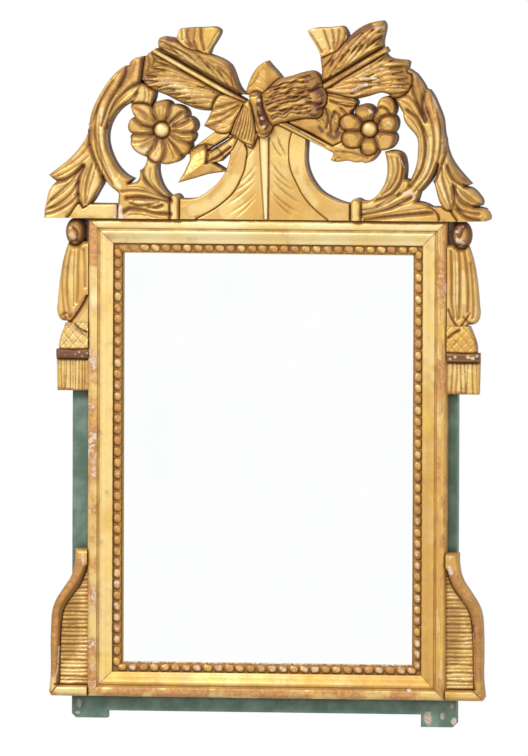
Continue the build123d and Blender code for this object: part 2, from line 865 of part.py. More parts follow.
def tassel_cap():
    top = tassel_band_top
    low = fringe_top
    edge = tassel_band_width
    crown = outline(
        [(0, -126), (27, -126)],
        [(27, -126), (32.5, -139), (35.5, -150), (35.5, top)],
        [(35.5, top), (0, top)],
        [(0, top), (0, -126)],
    )
    band = corners((0, top), (edge, top), (edge, low), (0, low))
    return Pos(half_width, 0) * (crown + band)


def fringe():
    edge = half_width + tassel_band_width
    low = fringe_bottom
    skirt = corners((half_width, fringe_top), (edge, fringe_top), (edge - 1, low), (half_width, low))
    front = front_of_chassis + fringe_height
    pitch = tassel_band_width / strand_count
    cut = block(-strand_groove / 2, strand_groove / 2, low - 1, fringe_top, front - strand_groove, front + 1)
    places = [half_width + pitch * (index + 1) for index in range(strand_count - 1)]
    return forward(skirt, front_of_chassis, fringe_height) - [Pos(x, 0, 0) * cut for x in places]


def drops():
    cap_face = tassel_cap()
    drape_face = drape() - cap_face
    cloth = forward(drape_face, front_of_chassis, drape_height)
    ball = forward(knob(), front_of_chassis, knob_height)
    right = {
        "drape": [cloth - ball, ball],
        "tassel": [forward(cap_face, front_of_chassis, tassel_height)],
        "fringe": [fringe()],
    }
    for name, solids in right.items():
        save("drop_" + name + "_right", *solids)
        save("drop_" + name + "_left", *mirrored(solids))


def bracket_outer():
    """Outer edge of the bracket from its top down."""
    shape = [(15, 178), (15.5, 162), (21, 143), (27, 134), (33, 125), (38, 117), (42, 107), (44.5, 84)]
    shape += [(45, 60), (45, 24), (46, base_height)]
    return [(half_width + out * bracket_scale, up - frame_height) for out, up in shape]


def bracket_inner():
    """Inner edge of the rolled border, from the base up."""
    shape = [(34.5, base_height), (33.5, 50), (32, 86), (28, 107), (20, 120), (9, 135), (4, 146), (0, 159)]
    return [(half_width + out * bracket_scale, up - frame_height) for out, up in shape]


def bracket_border():
    """The rolled border with the base moulding that it runs into."""
    outer = bracket_outer()
    inner = bracket_inner()
    top = (half_width, outer[0][1])
    low = -frame_height
    roll = outline(outer, [outer[-1], inner[0]], inner, [inner[-1], top], [top, outer[0]])
    base = corners(
        (half_width, low),
        (half_width + base_width - 3, low),
        (half_width + base_width, low + 5),
        (half_width + base_width - 1, low + base_height),
        (half_width, low + base_height),
    )
    return roll + base


def bracket_panel():
    inner = bracket_inner()
    corner = (half_width, inner[0][1])
    return outline(inner, [inner[-1], corner], [corner, inner[0]])


def brackets():
    front = front_of_chassis + panel_height
    low = base_height - frame_height
    count = int((reed_top - base_height) / reed_pitch)
    edge = half_width + base_width
    cut = block(half_width, edge, -reed_groove / 2, reed_groove / 2, front - reed_groove, front + 1)
    panel = forward(bracket_panel(), front_of_chassis, panel_height)
    panel -= [Pos(0, 0, low + reed_pitch * (index + 1)) * cut for index in range(count)]
    border = forward(bracket_border(), front_of_chassis, roll_height)
    for name, solid in (("panel", panel), ("border", border)):
        save("bracket_" + name + "_right", solid)
        save("bracket_" + name + "_left", *mirrored([solid]))


gilt_frame()
chassis()
glass_and_back()
crest_support()
hanger()
crest()
drops()
brackets()
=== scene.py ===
"""Looks of the giltwood mirror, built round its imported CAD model.

The CAD model gives every outline and depth. Here each carved node becomes a fine mesh whose front
is cut into leaves, petals, folds and feathers, and everything gets its worn gilding or paint.
Sizes are in millimetres until a mesh is made. Places on the carving are pixels of the photograph.
"""

import itertools
import math

import bmesh
import bpy
import numpy as np
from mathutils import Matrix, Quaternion, Vector
from mathutils.geometry import delaunay_2d_cdt


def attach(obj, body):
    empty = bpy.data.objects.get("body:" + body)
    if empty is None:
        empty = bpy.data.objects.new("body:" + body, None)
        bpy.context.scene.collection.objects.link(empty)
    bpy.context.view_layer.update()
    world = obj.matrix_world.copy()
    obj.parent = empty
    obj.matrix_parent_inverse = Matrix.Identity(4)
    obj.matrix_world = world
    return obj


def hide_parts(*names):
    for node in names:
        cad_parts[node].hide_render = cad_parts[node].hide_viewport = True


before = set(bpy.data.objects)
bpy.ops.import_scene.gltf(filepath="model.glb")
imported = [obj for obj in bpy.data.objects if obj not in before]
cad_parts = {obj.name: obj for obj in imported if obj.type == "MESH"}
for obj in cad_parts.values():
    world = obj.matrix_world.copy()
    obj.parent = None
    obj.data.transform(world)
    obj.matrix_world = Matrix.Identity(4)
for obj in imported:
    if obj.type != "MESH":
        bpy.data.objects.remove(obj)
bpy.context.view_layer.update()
scene = bpy.context.scene

MM = 0.001


def box_of(node):
    """The lowest and the highest corner of a CAD node."""
    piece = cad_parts[node]
    points = np.array([piece.matrix_world @ vertex.co for vertex in piece.data.vertices]) / MM
    return np.round(points.min(axis=0), 3).tolist(), np.round(points.max(axis=0), 3).tolist()


frame_low, frame_high = box_of("moulding_left")
half_width = -frame_low[0]
top_edge = frame_high[2]
frame_height = frame_high[2] - frame_low[2]
front_of_chassis = -frame_high[1]

# The photograph: millimetres to a pixel, its height in pixels, the millimetres from its left edge to the
# middle of the mirror, the row of the crest's foot, and how wide the frame and the crest look in it.
pixel = 1.2
photo_height = 756
photo_middle = 321.0
foot_of_crest = 219.5
frame_seen = 432
crest_seen = 431
widening = 2 * half_width / frame_seen
crest_growth = 2 * half_width / crest_seen


def at(px, py):
    """The place on the front of the carving that one pixel of the photograph shows."""
    up = pixel * (foot_of_crest - py)
    growth = crest_growth if up > 0 else 1.0
    return ((pixel * px - photo_middle) * widening * growth, up * growth + top_edge)


def across(px):
    """The x of a column of the photograph, on the scale of the crest."""
    return at(px, 0)[0]


def height_of(py):
    """The z of a row of the photograph."""
    return at(0, py)[1]


def pixel_of(x, z):
    """The pixel that shows a place on the front of the gilt frame."""
    return (x / widening + photo_middle) / pixel, foot_of_crest - (z - top_edge) / pixel


def places(points):
    """The places that several pixels show."""
    return np.array([at(*point) for point in points])


# Small tools


sharp_angle = math.radians(50)
bevelled_angle = math.radians(40)
noise_values = 4096
row_prime = 7919
cell_prime = 104729
batch = 2000


def smooth_noise(points, size, seed):
    """Noise from -1 to 1 whose patches are about `size` across."""
    table = np.random.default_rng(seed).uniform(-1, 1, noise_values)
    place = np.asarray(points) / size + 1000.0
    cell = np.floor(place).astype(np.int64)
    part = place - cell
    part = part * part * (3 - 2 * part)
    total = np.zeros(len(place))
    for corner in itertools.product((0, 1), repeat=place.shape[1]):
        key = np.zeros(len(place), dtype=np.int64)
        weight = np.ones(len(place))
        for axis, step in enumerate(corner):
            key = key * row_prime + (cell[:, axis] + step) * cell_prime
            weight = weight * (part[:, axis] if step else 1 - part[:, axis])
        total += weight * table[(key ^ (key >> 7)) % noise_values]
    return total


def curve_through(points, steps=5):
    """More points on a smooth curve through the given ones."""
    p = np.asarray(points, dtype=float)
    if len(p) < 3:
        return p
    ends = np.vstack([2 * p[0] - p[1], p, 2 * p[-1] - p[-2]])
    out = []
    for i in range(1, len(ends) - 2):
        a, b, c, d = ends[i - 1 : i + 3]
        for step in range(steps):
            t = step / steps
            slope = (c - a) * t
            bend = (2 * a - 5 * b + 4 * c - d) * t**2
            twist = (3 * b - a - 3 * c + d) * t**3
            out.append(0.5 * (2 * b + slope + bend + twist))
    out.append(p[-1])
    return np.array(out)


def distance_to_line(points, line):
    """Distance to a run of straight pieces, positive to its left, and how far along it, 0 to 1."""
    best = np.full(len(points), 1e9)
    side = np.ones(len(points))
    along = np.zeros(len(points))
    pieces = len(line) - 1
    for index in range(pieces):
        a, b = line[index], line[index + 1]
        run = b - a
        length = float(run @ run)
        if length < 1e-9:
            continue
        t = np.clip((points - a) @ run / length, 0, 1)
        off = points - a - t[:, None] * run
        far = np.hypot(off[:, 0], off[:, 1])
        near = far < best
        best = np.where(near, far, best)
        cross = run[0] * off[:, 1] - run[1] * off[:, 0]
        side = np.where(near, np.sign(cross), side)
        along = np.where(near, (index + t) / pieces, along)
    return best, side, along


def distance_to_points(points, others):
    """Distance from each point to the nearest of the others."""
    found = np.empty(len(points))
    for start in range(0, len(points), batch):
        gap = points[start : start + batch, None, :] - others[None, :, :]
        found[start : start + batch] = np.sqrt((gap**2).sum(axis=2).min(axis=1))
    return found


def inside(points, rings):
    """Which points lie inside the closed rings."""
    count = np.zeros(len(points), dtype=int)
    x, y = points[:, 0], points[:, 1]
    for ring in rings:
        following = np.roll(ring, -1, axis=0)
        for (x0, y0), (x1, y1) in zip(ring, following):
            if y0 == y1:
                continue
            crosses = (y0 > y) != (y1 > y)
            count += crosses & (x < (x1 - x0) * (y - y0) / (y1 - y0) + x0)
    return count % 2 == 1


def facing_up(faces, points):
    """The triangles with their corners all counter-clockwise."""
    a, b, c = (points[faces[:, corner]] for corner in range(3))
    turn = (b[:, 0] - a[:, 0]) * (c[:, 1] - a[:, 1]) - (b[:, 1] - a[:, 1]) * (c[:, 0] - a[:, 0])
    faces[turn < 0] = faces[turn < 0][:, [0, 2, 1]]
    return faces


def face_outwards(piece):
    """Turns the mesh's faces to the outside."""
    net = bmesh.new()
    net.from_mesh(piece.data)
    bmesh.ops.recalc_face_normals(net, faces=net.faces)
    net.to_mesh(piece.data)
    net.free()


def make_object(name, verts, triangles, fields, material, body="mirror", replaces=()):
    """A mesh piece from points in millimetres and triangles, with a number per point for each field."""
    mesh = bpy.data.meshes.new(name)
    verts = np.asarray(verts, dtype=np.float32) * MM
    triangles = np.asarray(triangles, dtype=np.int32)
    mesh.vertices.add(len(verts))
    mesh.vertices.foreach_set("co", verts.ravel())
    mesh.loops.add(triangles.size)
    mesh.loops.foreach_set("vertex_index", triangles.ravel())
    mesh.polygons.add(len(triangles))
    mesh.polygons.foreach_set("loop_start", np.arange(0, triangles.size, 3, dtype=np.int32))
    mesh.update(calc_edges=True)
    mesh.validate()
    for key, values in fields.items():
        field = mesh.attributes.new(key, "FLOAT", "POINT")
        field.data.foreach_set("value", np.asarray(values, dtype=np.float32))
    mesh.polygons.foreach_set("use_smooth", np.ones(len(mesh.polygons), dtype=bool))
    mesh.set_sharp_from_angle(angle=sharp_angle)
    mesh.materials.append(material)
    piece = bpy.data.objects.new(name, mesh)
    scene.collection.objects.link(piece)
    if replaces:
        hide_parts(*replaces)
    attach(piece, body)
    return piece


# Materials


class Nodes:
    """Builds a material's node tree with short calls."""

    def __init__(self, name):
        self.material = bpy.data.materials.new(name)
        self.material.use_nodes = True
        self.tree = self.material.node_tree
        self.shader = self.tree.nodes["Principled BSDF"]
        self.axes = None

    def new(self, kind):
        return self.tree.nodes.new("ShaderNode" + kind)

    def link(self, source, target):
        self.tree.links.new(source, target)

    def put(self, value, target):
        """Sets an input to a number or links a socket to it."""
        if isinstance(value, (int, float)):
            target.default_value = value
        else:
            self.link(value, target)

    def place(self):
        return self.new("TexCoord").outputs["Object"]

    def axis(self, name):
        """One coordinate of each place, in metres."""
        if self.axes is None:
            self.axes = self.new("SeparateXYZ")
            self.link(self.place(), self.axes.inputs[0])
        return self.axes.outputs[name]

    def field(self, name):
        node = self.new("Attribute")
        node.attribute_name = name
        return node.outputs["Fac"]

    def noise(self, size, detail=4.0, rough=0.55, stretch=None):
        """Noise whose patches are about `size` millimetres across."""
        node = self.new("TexNoise")
        node.inputs["Scale"].default_value = 1 / MM / size
        node.inputs["Detail"].default_value = detail
        node.inputs["Roughness"].default_value = rough
        source = self.place()
        if stretch:
            mapping = self.new("Mapping")
            mapping.inputs["Scale"].default_value = stretch
            self.link(source, mapping.inputs["Vector"])
            source = mapping.outputs["Vector"]
        self.link(source, node.inputs["Vector"])
        return node.outputs["Fac"]

    def ramp(self, value, low, high, out_low=0.0, out_high=1.0):
        node = self.new("MapRange")
        node.interpolation_type = "SMOOTHSTEP"
        limits = {"From Min": low, "From Max": high, "To Min": out_low, "To Max": out_high}
        for key, number in limits.items():
            node.inputs[key].default_value = number
        self.link(value, node.inputs["Value"])
        return node.outputs["Result"]

    def math(self, kind, *values):
        node = self.new("Math")
        node.operation = kind
        for value, target in zip(values, node.inputs):
            self.put(value, target)
        return node.outputs[0]

    def times(self, value, share):
        return self.math("MULTIPLY", value, share)

    def plus(self, first, second, share=None):
        """The first value plus the second, or plus a share of it."""
        return self.math("ADD", first, self.times(second, share) if share else second)

    def from_half(self, value):
        return self.math("SUBTRACT", value, 0.5)

    def mix(self, amount, first, second):
        """Blends two colours, each a tuple or a socket."""
        node = self.new("Mix")
        node.data_type = "RGBA"
        self.link(amount, node.inputs["Factor"])
        for key, colour in (("A", first), ("B", second)):
            socket = [s for s in node.inputs if s.name == key and s.type == "RGBA"][0]
            if isinstance(colour, tuple):
                socket.default_value = (*colour, 1)
            else:
                self.link(colour, socket)
        return [s for s in node.outputs if s.type == "RGBA"][0]

    def hollow(self, reach):
        """How deep in a recess each place is, from 0 in the open to 1."""
        node = self.new("AmbientOcclusion")
        node.inputs["Distance"].default_value = reach * MM
        node.samples = 6
        return self.math("SUBTRACT", 1.0, node.outputs["AO"])

    def bump(self, height, depth, strength=1.0, after=None):
        """Relief of a depth in millimetres, on top of another one if given."""
        node = self.new("Bump")
        node.inputs["Distance"].default_value = depth * MM
        node.inputs["Strength"].default_value = strength
        self.link(height, node.inputs["Height"])
        if after is not None:
            self.link(after, node.inputs["Normal"])
        return node.outputs["Normal"]

    def finish(self, colour, rough, metallic=0.0, normal=None):
        self.link(colour, self.shader.inputs["Base Color"])
        self.put(rough, self.shader.inputs["Roughness"])
        self.put(metallic, self.shader.inputs["Metallic"])
        if normal is not None:
            self.link(normal, self.shader.inputs["Normal"])
        return self.material


pale_leaf = (0.83, 0.60, 0.23)
warm_leaf = (0.66, 0.37, 0.085)
yellow_leaf = (0.84, 0.56, 0.105)
cream = (0.93, 0.77, 0.42)
rosy = (0.56, 0.345, 0.245)
ochre = (0.40, 0.215, 0.045)
bole = (0.47, 0.19, 0.062)
orange_clay = (0.72, 0.34, 0.110)
gesso_pink = (0.74, 0.50, 0.34)
gesso_white = (0.80, 0.72, 0.60)
# Amber, umber, the deepest dark and plum are the colours of dirt and of painted shade in hollows and grooves.
amber = (0.35, 0.168, 0.030)
umber = (0.225, 0.100, 0.020)
deepest_shade_and_grime = (0.13, 0.054, 0.012)
plum = (0.150, 0.052, 0.038)


def leaf_colours(n, broad, patch, fine, tone):
    """Gold leaf from warm to pale, with cream, yellow and rosy patches."""
    leaf = n.mix(n.ramp(n.plus(broad, tone), 0.35, 0.75), warm_leaf, pale_leaf)
    leaf = n.mix(n.ramp(patch, 0.52, 0.78, 0.0, 0.55), leaf, ochre)
    leaf = n.mix(n.ramp(fine, 0.60, 0.80, 0.0, 0.35), leaf, pale_leaf)
    leaf = n.mix(n.ramp(n.plus(tone, broad, 0.3), 0.70, 1.05, 0.0, 0.85), leaf, cream)
    leaf = n.mix(n.ramp(n.noise(42, 4, 0.6), 0.50, 0.70, 0.0, 0.60), leaf, yellow_leaf)
    return n.mix(n.ramp(n.noise(23, 5, 0.7), 0.54, 0.72, 0.0, 0.42), leaf, rosy)


def gilding():
    """Old leaf on ochre and red clay, rubbed at the edges, with chips of gesso, darkened in the hollows by
    dirt and by painted shade from ambient occlusion.
    """
    n = Nodes("gilding")
    broad = n.noise(70, 3)
    patch = n.noise(16, 5, 0.65)
    fine = n.noise(3.2, 4, 0.7)
    grain = n.noise(1.1, 3, 0.6)
    dark, worn, chip, tone = (n.field(name) for name in ("dark", "worn", "chip", "tone"))
    leaf = leaf_colours(n, broad, patch, fine, tone)

    clay = n.mix(n.ramp(fine, 0.40, 0.62), bole, orange_clay)
    rubbed = n.ramp(n.plus(n.times(worn, 0.75), patch, 0.55), 0.50, 0.66)
    colour = n.mix(n.times(rubbed, 0.85), leaf, clay)

    # Painted shade: ambient occlusion and the dark field, partly dirt and partly painted shade, darken the
    # leaf towards amber, umber and near black.
    shade_and_grime = n.plus(n.times(dark, 0.60), n.hollow(10), 0.85)
    shade_and_grime = n.plus(shade_and_grime, n.from_half(patch), 0.55)
    colour = n.mix(n.ramp(shade_and_grime, 0.06, 0.50, 0.0, 0.75), colour, amber)
    colour = n.mix(n.ramp(shade_and_grime, 0.38, 0.95, 0.0, 0.70), colour, umber)
    colour = n.mix(n.ramp(shade_and_grime, 0.85, 1.25, 0.0, 0.20), colour, deepest_shade_and_grime)
    colour = n.mix(n.ramp(dark, 1.10, 1.40, 0.0, 0.80), colour, plum)

    bare = n.ramp(n.plus(chip, n.from_half(fine), 0.9), 0.46, 0.56)
    gesso = n.mix(n.ramp(patch, 0.42, 0.60), gesso_pink, gesso_white)
    colour = n.mix(n.times(bare, 0.9), colour, gesso)

    dull = n.math("MAXIMUM", n.times(rubbed, 0.6), bare)
    dull = n.math("MAXIMUM", dull, n.ramp(shade_and_grime, 0.35, 0.8))
    metallic = n.math("SUBTRACT", 0.34, n.times(dull, 0.34))
    rough = n.math("ADD", 0.43, n.times(dull, 0.27))
    rough = n.plus(rough, n.from_half(grain), 0.12)
    normal = n.bump(patch, 0.25, 0.6)
    normal = n.bump(fine, 0.10, 0.6, normal)
    normal = n.bump(grain, 0.04, 0.5, normal)
    return n.finish(colour, rough, metallic, normal)


# Chips of the green paint: the pixel at the middle of each, and half its width and height.
green_chips = (
    (428, 718, 5.0, 9.0),
    (442.5, 716, 2.6, 4.0),
    (455, 721, 5.0, 5.0),
    (452, 706, 2.0, 3.0),
    (77.5, 708, 2.4, 5.5),
    (76, 717, 3.0, 2.0),
    (86.5, 233, 5.5, 17.0),
    (450, 233, 5.5, 17.0),
)
deep_green = (0.095, 0.165, 0.120)
faded_green = (0.195, 0.285, 0.230)
stained_green = (0.060, 0.085, 0.055)
rubbed_green = (0.24, 0.32, 0.26)
black_green = (0.022, 0.032, 0.022)
grey_gesso = (0.40, 0.32, 0.23)
cream_gesso = (0.74, 0.64, 0.52)


def placed_chip(n, fine, place, half_wide, half_high):
    """A chip with a ragged edge round a place of the front."""
    shares = []
    for axis, middle, half in zip("XZ", place, (half_wide, half_high)):
        shares.append(n.times(n.math("SUBTRACT", n.axis(axis), middle * MM), 1000 / half))
    squares = [n.math("MULTIPLY", share, share) for share in shares]
    far = n.math("SQRT", n.math("ADD", *squares))
    return n.ramp(n.plus(far, n.from_half(fine), 2.4), 1.05, 0.85)


def green_paint():
    """Old matt green paint with chips down to the gesso, rubbed paler along the grain, and painted shade that
    darkens its corners and recesses.
    """
    n = Nodes("green_paint")
    patch = n.noise(24, 5, 0.6)
    fine = n.noise(4, 5, 0.7)
    grain = n.noise(9, 4, 0.6, (1.0, 1.0, 0.12))
    paint = n.mix(n.ramp(patch, 0.35, 0.68), deep_green, faded_green)
    paint = n.mix(n.ramp(fine, 0.56, 0.76, 0.0, 0.55), paint, stained_green)
    paint = n.mix(n.ramp(grain, 0.60, 0.80, 0.0, 0.35), paint, rubbed_green)
    # Painted shade: ambient occlusion darkens the paint in corners and recesses.
    paint = n.mix(n.ramp(n.hollow(9), 0.15, 0.65, 0.0, 0.75), paint, black_green)
    chips = n.ramp(n.noise(7.5, 6, 0.72), 0.685, 0.71)
    in_front = n.ramp(n.times(n.axis("Y"), -1000), front_of_chassis - 2, front_of_chassis - 1)
    for px, py, half_wide, half_high in green_chips:
        chip = placed_chip(n, fine, at(px, py), half_wide, half_high)
        chips = n.math("MAXIMUM", chips, n.math("MULTIPLY", in_front, chip))
    paint = n.mix(chips, paint, n.mix(n.ramp(fine, 0.4, 0.6), grey_gesso, cream_gesso))
    normal = n.bump(fine, 0.12, 0.6)
    normal = n.bump(grain, 0.20, 0.4, normal)
    return n.finish(paint, 0.62, 0.0, normal)


crest_light = (0.27, 0.165, 0.08)
crest_dark = (0.13, 0.07, 0.032)
board_light = (0.30, 0.19, 0.105)
board_dark = (0.15, 0.085, 0.045)
size_dark = (0.085, 0.036, 0.011)
size_light = (0.24, 0.115, 0.030)
wood_hollow_shade = (0.02, 0.014, 0.009)
iron_dark = (0.055, 0.045, 0.040)
iron_rust = (0.13, 0.065, 0.038)


def old_wood(name, light, dark, along):
    """Bare old softwood. `along` stretches the grain."""
    n = Nodes(name)
    grain = n.noise(5, 6, 0.65, along)
    lines = n.noise(1.6, 4, 0.6, along)
    patch = n.noise(60, 4)
    colour = n.mix(n.ramp(grain, 0.35, 0.68), dark, light)
    colour = n.mix(n.ramp(lines, 0.55, 0.75, 0.0, 0.6), colour, tuple(value * 0.45 for value in dark))
    colour = n.mix(n.ramp(patch, 0.50, 0.75, 0.0, 0.5), colour, tuple(value * 0.6 for value in dark))
    # Painted shade: ambient occlusion darkens the wood in its recesses.
    colour = n.mix(n.ramp(n.hollow(8), 0.2, 0.7, 0.0, 0.7), colour, wood_hollow_shade)
    normal = n.bump(grain, 0.35, 0.5)
    normal = n.bump(lines, 0.15, 0.5, normal)
    return n.finish(colour, 0.72, 0.0, normal)


def crest_sides():
    """Bare wood at the back of the crest boards, dark ochre and old size on the sawn sides."""
    n = Nodes("crest_sides")
    grain = n.noise(6, 6, 0.65, (0.08, 1.0, 1.0))
    patch = n.noise(20, 5, 0.6)
    wood = n.mix(n.ramp(grain, 0.35, 0.68), crest_dark, crest_light)
    side = n.mix(n.ramp(patch, 0.40, 0.66), size_dark, size_light)
    deep = n.plus(n.times(n.axis("Y"), -1.0), patch, 0.004)
    colour = n.mix(n.ramp(deep, 0.009, 0.012), wood, side)
    normal = n.bump(grain, 0.3, 0.5)
    return n.finish(colour, 0.7, 0.0, normal)


def old_iron():
    """Wrought iron with patches of rust."""
    n = Nodes("old_iron")
    patch = n.noise(6, 5, 0.65)
    fine = n.noise(1.5, 4, 0.7)
    colour = n.mix(n.ramp(patch, 0.40, 0.65), iron_dark, iron_rust)
    normal = n.bump(fine, 0.10, 0.7)
    return n.finish(colour, n.ramp(fine, 0.3, 0.7, 0.45, 0.7), 0.7, normal)


def mirror_glass():
    """Silvered glass, a little greyer in clouds."""
    n = Nodes("mirror_glass")
    cloud = n.noise(90, 3)
    colour = n.mix(n.ramp(cloud, 0.3, 0.8), (0.985, 0.99, 0.99), (0.965, 0.975, 0.975))
    return n.finish(colour, 0.02, 1.0)


gilt = gilding()
green = green_paint()
boards = old_wood("back_wood", board_light, board_dark, (1.0, 1.0, 0.07))
crest_wood = old_wood("crest_wood", crest_light, crest_dark, (0.07, 1.0, 1.0))
crest_side = crest_sides()
iron = old_iron()
glass = mirror_glass()


# Carving


flat_enough = 0.999
same_level = 0.02


def rings_round(triangles):
    """The closed runs of corners round a set of triangles."""
    edges = {pair: None for a, b, c in triangles for pair in ((a, b), (b, c), (c, a))}
    border = {a: b for a, b in edges if (b, a) not in edges}
    rings = []
    while border:
        start, following = border.popitem()
        ring = [start]
        while following != start:
            ring.append(following)
            following = border.pop(following)
        rings.append(ring)
    return rings


def front_levels(node):
    """The rings of a node's flat fronts in millimetres, by distance from the wall, and its back."""
    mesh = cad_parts[node].data
    co = np.empty(len(mesh.vertices) * 3)
    mesh.vertices.foreach_get("co", co)
    world = np.array(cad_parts[node].matrix_world)
    co = co.reshape(-1, 3) @ world[:3, :3].T + world[:3, 3]
    co = np.round(co * 1000, 3)
    keys = {}
    ids = np.array([keys.setdefault(tuple(point), len(keys)) for point in co])
    spots = np.array(list(keys))
    mesh.calc_loop_triangles()
    tris = np.empty(len(mesh.loop_triangles) * 3, dtype=np.int64)
    mesh.loop_triangles.foreach_get("vertices", tris)
    tris = ids[tris.reshape(-1, 3)]
    corner = spots[tris]
    normal = np.cross(corner[:, 1] - corner[:, 0], corner[:, 2] - corner[:, 0])
    flat = np.abs(normal[:, 1]) > flat_enough * np.maximum(np.linalg.norm(normal, axis=1), 1e-12)
    facing = flat & (normal[:, 1] < 0)
    levels = {}
    for depth in np.unique(np.round(-corner[facing][:, 0, 1], 2)):
        chosen = tris[facing & (np.abs(-corner[:, 0, 1] - depth) < same_level)]
        levels[depth] = [spots[ring][:, [0, 2]] for ring in rings_round(chosen)]
    return levels, -spots[:, 1].max()


shortest_edge = 0.12


def divided(ring, pitch):
    """A ring with no piece longer than the pitch and no two points almost together."""
    out = []
    for a, b in zip(ring, np.roll(ring, -1, axis=0)):
        if out and np.hypot(*(a - out[-1])) < shortest_edge:
            continue
        out.append(a)
        parts = int(np.hypot(*(b - a)) // pitch) + 1
        out += [a + (b - a) * step / parts for step in range(1, parts)]
    if np.hypot(*(out[0] - out[-1])) < shortest_edge:
        out.pop()
    return np.array(out)


# Height of a row of the net by its pitch, and how near a point of the outline lies to the frame beside it.
row_share = 0.866
near_frame = 0.6
near_top_edge = 0.8
# The least wood left, the most that a cut may raise, and the limits of the field for dirt and painted shade.
thinnest = 1.5
highest_rise = 0.6
lowest_dark = -0.8
darkest = 1.6
# A groove is a little wider and shallower than asked for, and its core is darkened with painted shade.
groove_widening = 1.25
groove_softening = 0.80
groove_core = 0.55


class Carving:
    """A fine net of points over a node's flat front, with a height at each that the cuts lower."""

    def __init__(self, node, pitch=0.8, seed=1, levels=None, joined=None):
        self.node = node
        self.seed = seed
        found, self.back = front_levels(node)
        nets = [self.net(rings, depth, pitch) for depth, rings in (levels or found).items()]
        points, triangles, rings, heights, flats = zip(*nets)
        shifts = np.cumsum([0] + [len(part) for part in points])
        self.at = np.vstack(points)
        self.full = np.concatenate([np.full(len(part), height) for part, height in zip(points, heights)])
        self.height = self.full.copy()
        self.triangles = np.vstack([part + shift for part, shift in zip(triangles, shifts)])
        self.rings = [ring + shift for part, shift in zip(rings, shifts) for ring in part]
        self.flat = np.vstack([part + shift for part, shift in zip(flats, shifts)])
        self.border = self.free_border(joined)
        self.rim = distance_to_points(self.at, self.border)
        self.dark, self.worn, self.chip, self.tone = np.zeros((4, len(self.at)))

    def free_border(self, joined):
        """The outline without what lies against the frame or in the given box of the photograph."""
        border = self.at[np.concatenate(self.rings)]
        against_frame = np.abs(np.abs(border[:, 0]) - half_width) < near_frame
        border = border[(np.abs(border[:, 1] - top_edge) > near_top_edge) & ~against_frame]
        if joined:
            (low_x, high_z), (high_x, low_z) = at(*joined[0]), at(*joined[1])
            in_x = (border[:, 0] > low_x) & (border[:, 0] < high_x)
            border = border[~(in_x & (border[:, 1] > low_z) & (border[:, 1] < high_z))]
        return border

    def net(self, rings, depth, pitch):
        """Points, triangles, rings and height of one flat front, and the triangles of its outline alone."""
        rings = [divided(ring, pitch) for ring in rings]
        every = np.vstack(rings)
        low, high = every.min(axis=0), every.max(axis=0)
        rows = int((high[1] - low[1]) / (pitch * row_share)) + 2
        columns = int((high[0] - low[0]) / pitch) + 2
        row, column = np.divmod(np.arange(rows * columns), columns)
        across_net = low[0] + pitch * (column + 0.5 * (row % 2))
        grid = np.column_stack([across_net, low[1] + pitch * row_share * row])
        grid = grid[inside(grid, rings)]
        grid = grid[distance_to_points(grid, every) > 0.5 * pitch]
        points = np.vstack([every, grid])
        edges = []
        names = []
        first = 0
        for ring in rings:
            count = len(ring)
            edges += [(first + i, first + (i + 1) % count) for i in range(count)]
            names.append(np.arange(first, first + count))
            first += count
        fine = self.triangulate(points, edges, rings)
        flat = self.triangulate(every, edges, rings)
        return points, fine, names, depth - self.back, flat

    def triangulate(self, points, edges, rings):
        made = delaunay_2d_cdt([Vector(point) for point in points], edges, [], 0, 1e-6)
        origin = [source[0] if source else -1 for source in made[3]]
        faces = np.array([[origin[v] for v in face] for face in made[2] if len(face) == 3])
        faces = faces[(faces >= 0).all(axis=1)]
        faces = faces[inside(points[faces].mean(axis=1), rings)]
        return facing_up(faces, points)

    # Cuts. Points are pixels of the photograph, widths and depths millimetres.

    def round_rim(self, radius, drop):
        """Rounds the outline over by a radius, down by a drop."""
        t = np.clip(self.rim / radius, 0, 1)
        self.height -= drop * (1 - np.sqrt(1 - (1 - t) ** 2))

    def cut(self, points, width, depth, power=1.3, taper=0.0, dark=0.5):
        """A groove along a smooth line. Its ends may taper."""
        far, _, along = distance_to_line(self.at, curve_through(places(points)))
        self.gouge(far, along, width, depth, power, taper, dark)

    def gouge(self, far, along, width, depth, power, taper, dark):
        """Lowers what lies near a line, with a soft shoulder past the given width, and darkens its core with
        painted shade.
        """
        fade = np.ones(len(far))
        if taper:
            fade = np.clip(np.minimum(along, 1 - along) / taper, 0.0, 1) ** 0.6
        width = groove_widening * width
        shape = np.clip(1 - far / width, 0, 1) ** power * fade
        self.height -= groove_softening * depth * shape
        core = np.clip(1.5 * (1 - far / (width * groove_core)), 0, 1)
        self.dark = np.maximum(self.dark, dark * core * fade)

    def step(self, points, width, depth, power=1.5, dark=0.5):
        """Lowers the left side of a line, so that the right side lies over it, with painted shade at the foot
        of the step.
        """
        far, side, along = distance_to_line(self.at, curve_through(places(points)))
        lowered = (side > 0) & (along > 0.002) & (along < 0.998)
        self.height -= depth * np.where(lowered, np.clip(1 - far / width, 0, 1) ** power, 0)
        shade = np.where(lowered, np.clip(1 - far / (width * 0.35), 0, 1), 0)
        self.dark = np.maximum(self.dark, dark * shade)

    def barbs(self, lines, wide, rise, sunk):
        """Long pointed barbs that overlap like shingles, each given from its root to its tip."""
        top = np.full(len(self.at), -float(sunk))
        for line in lines:
            far, _, along = distance_to_line(self.at, curve_through(places(line)))
            belly = 0.55 + 0.45 * np.sin(np.pi * along)
            reach = wide * belly * np.clip((1 - along) / 0.4, 0.02, 1) ** 0.7
            crown = rise * (0.4 + 0.6 * along) * (1 - (far / reach) ** 2)
            top = np.where((far < reach) & (crown > top), crown, top)
        self.height += top
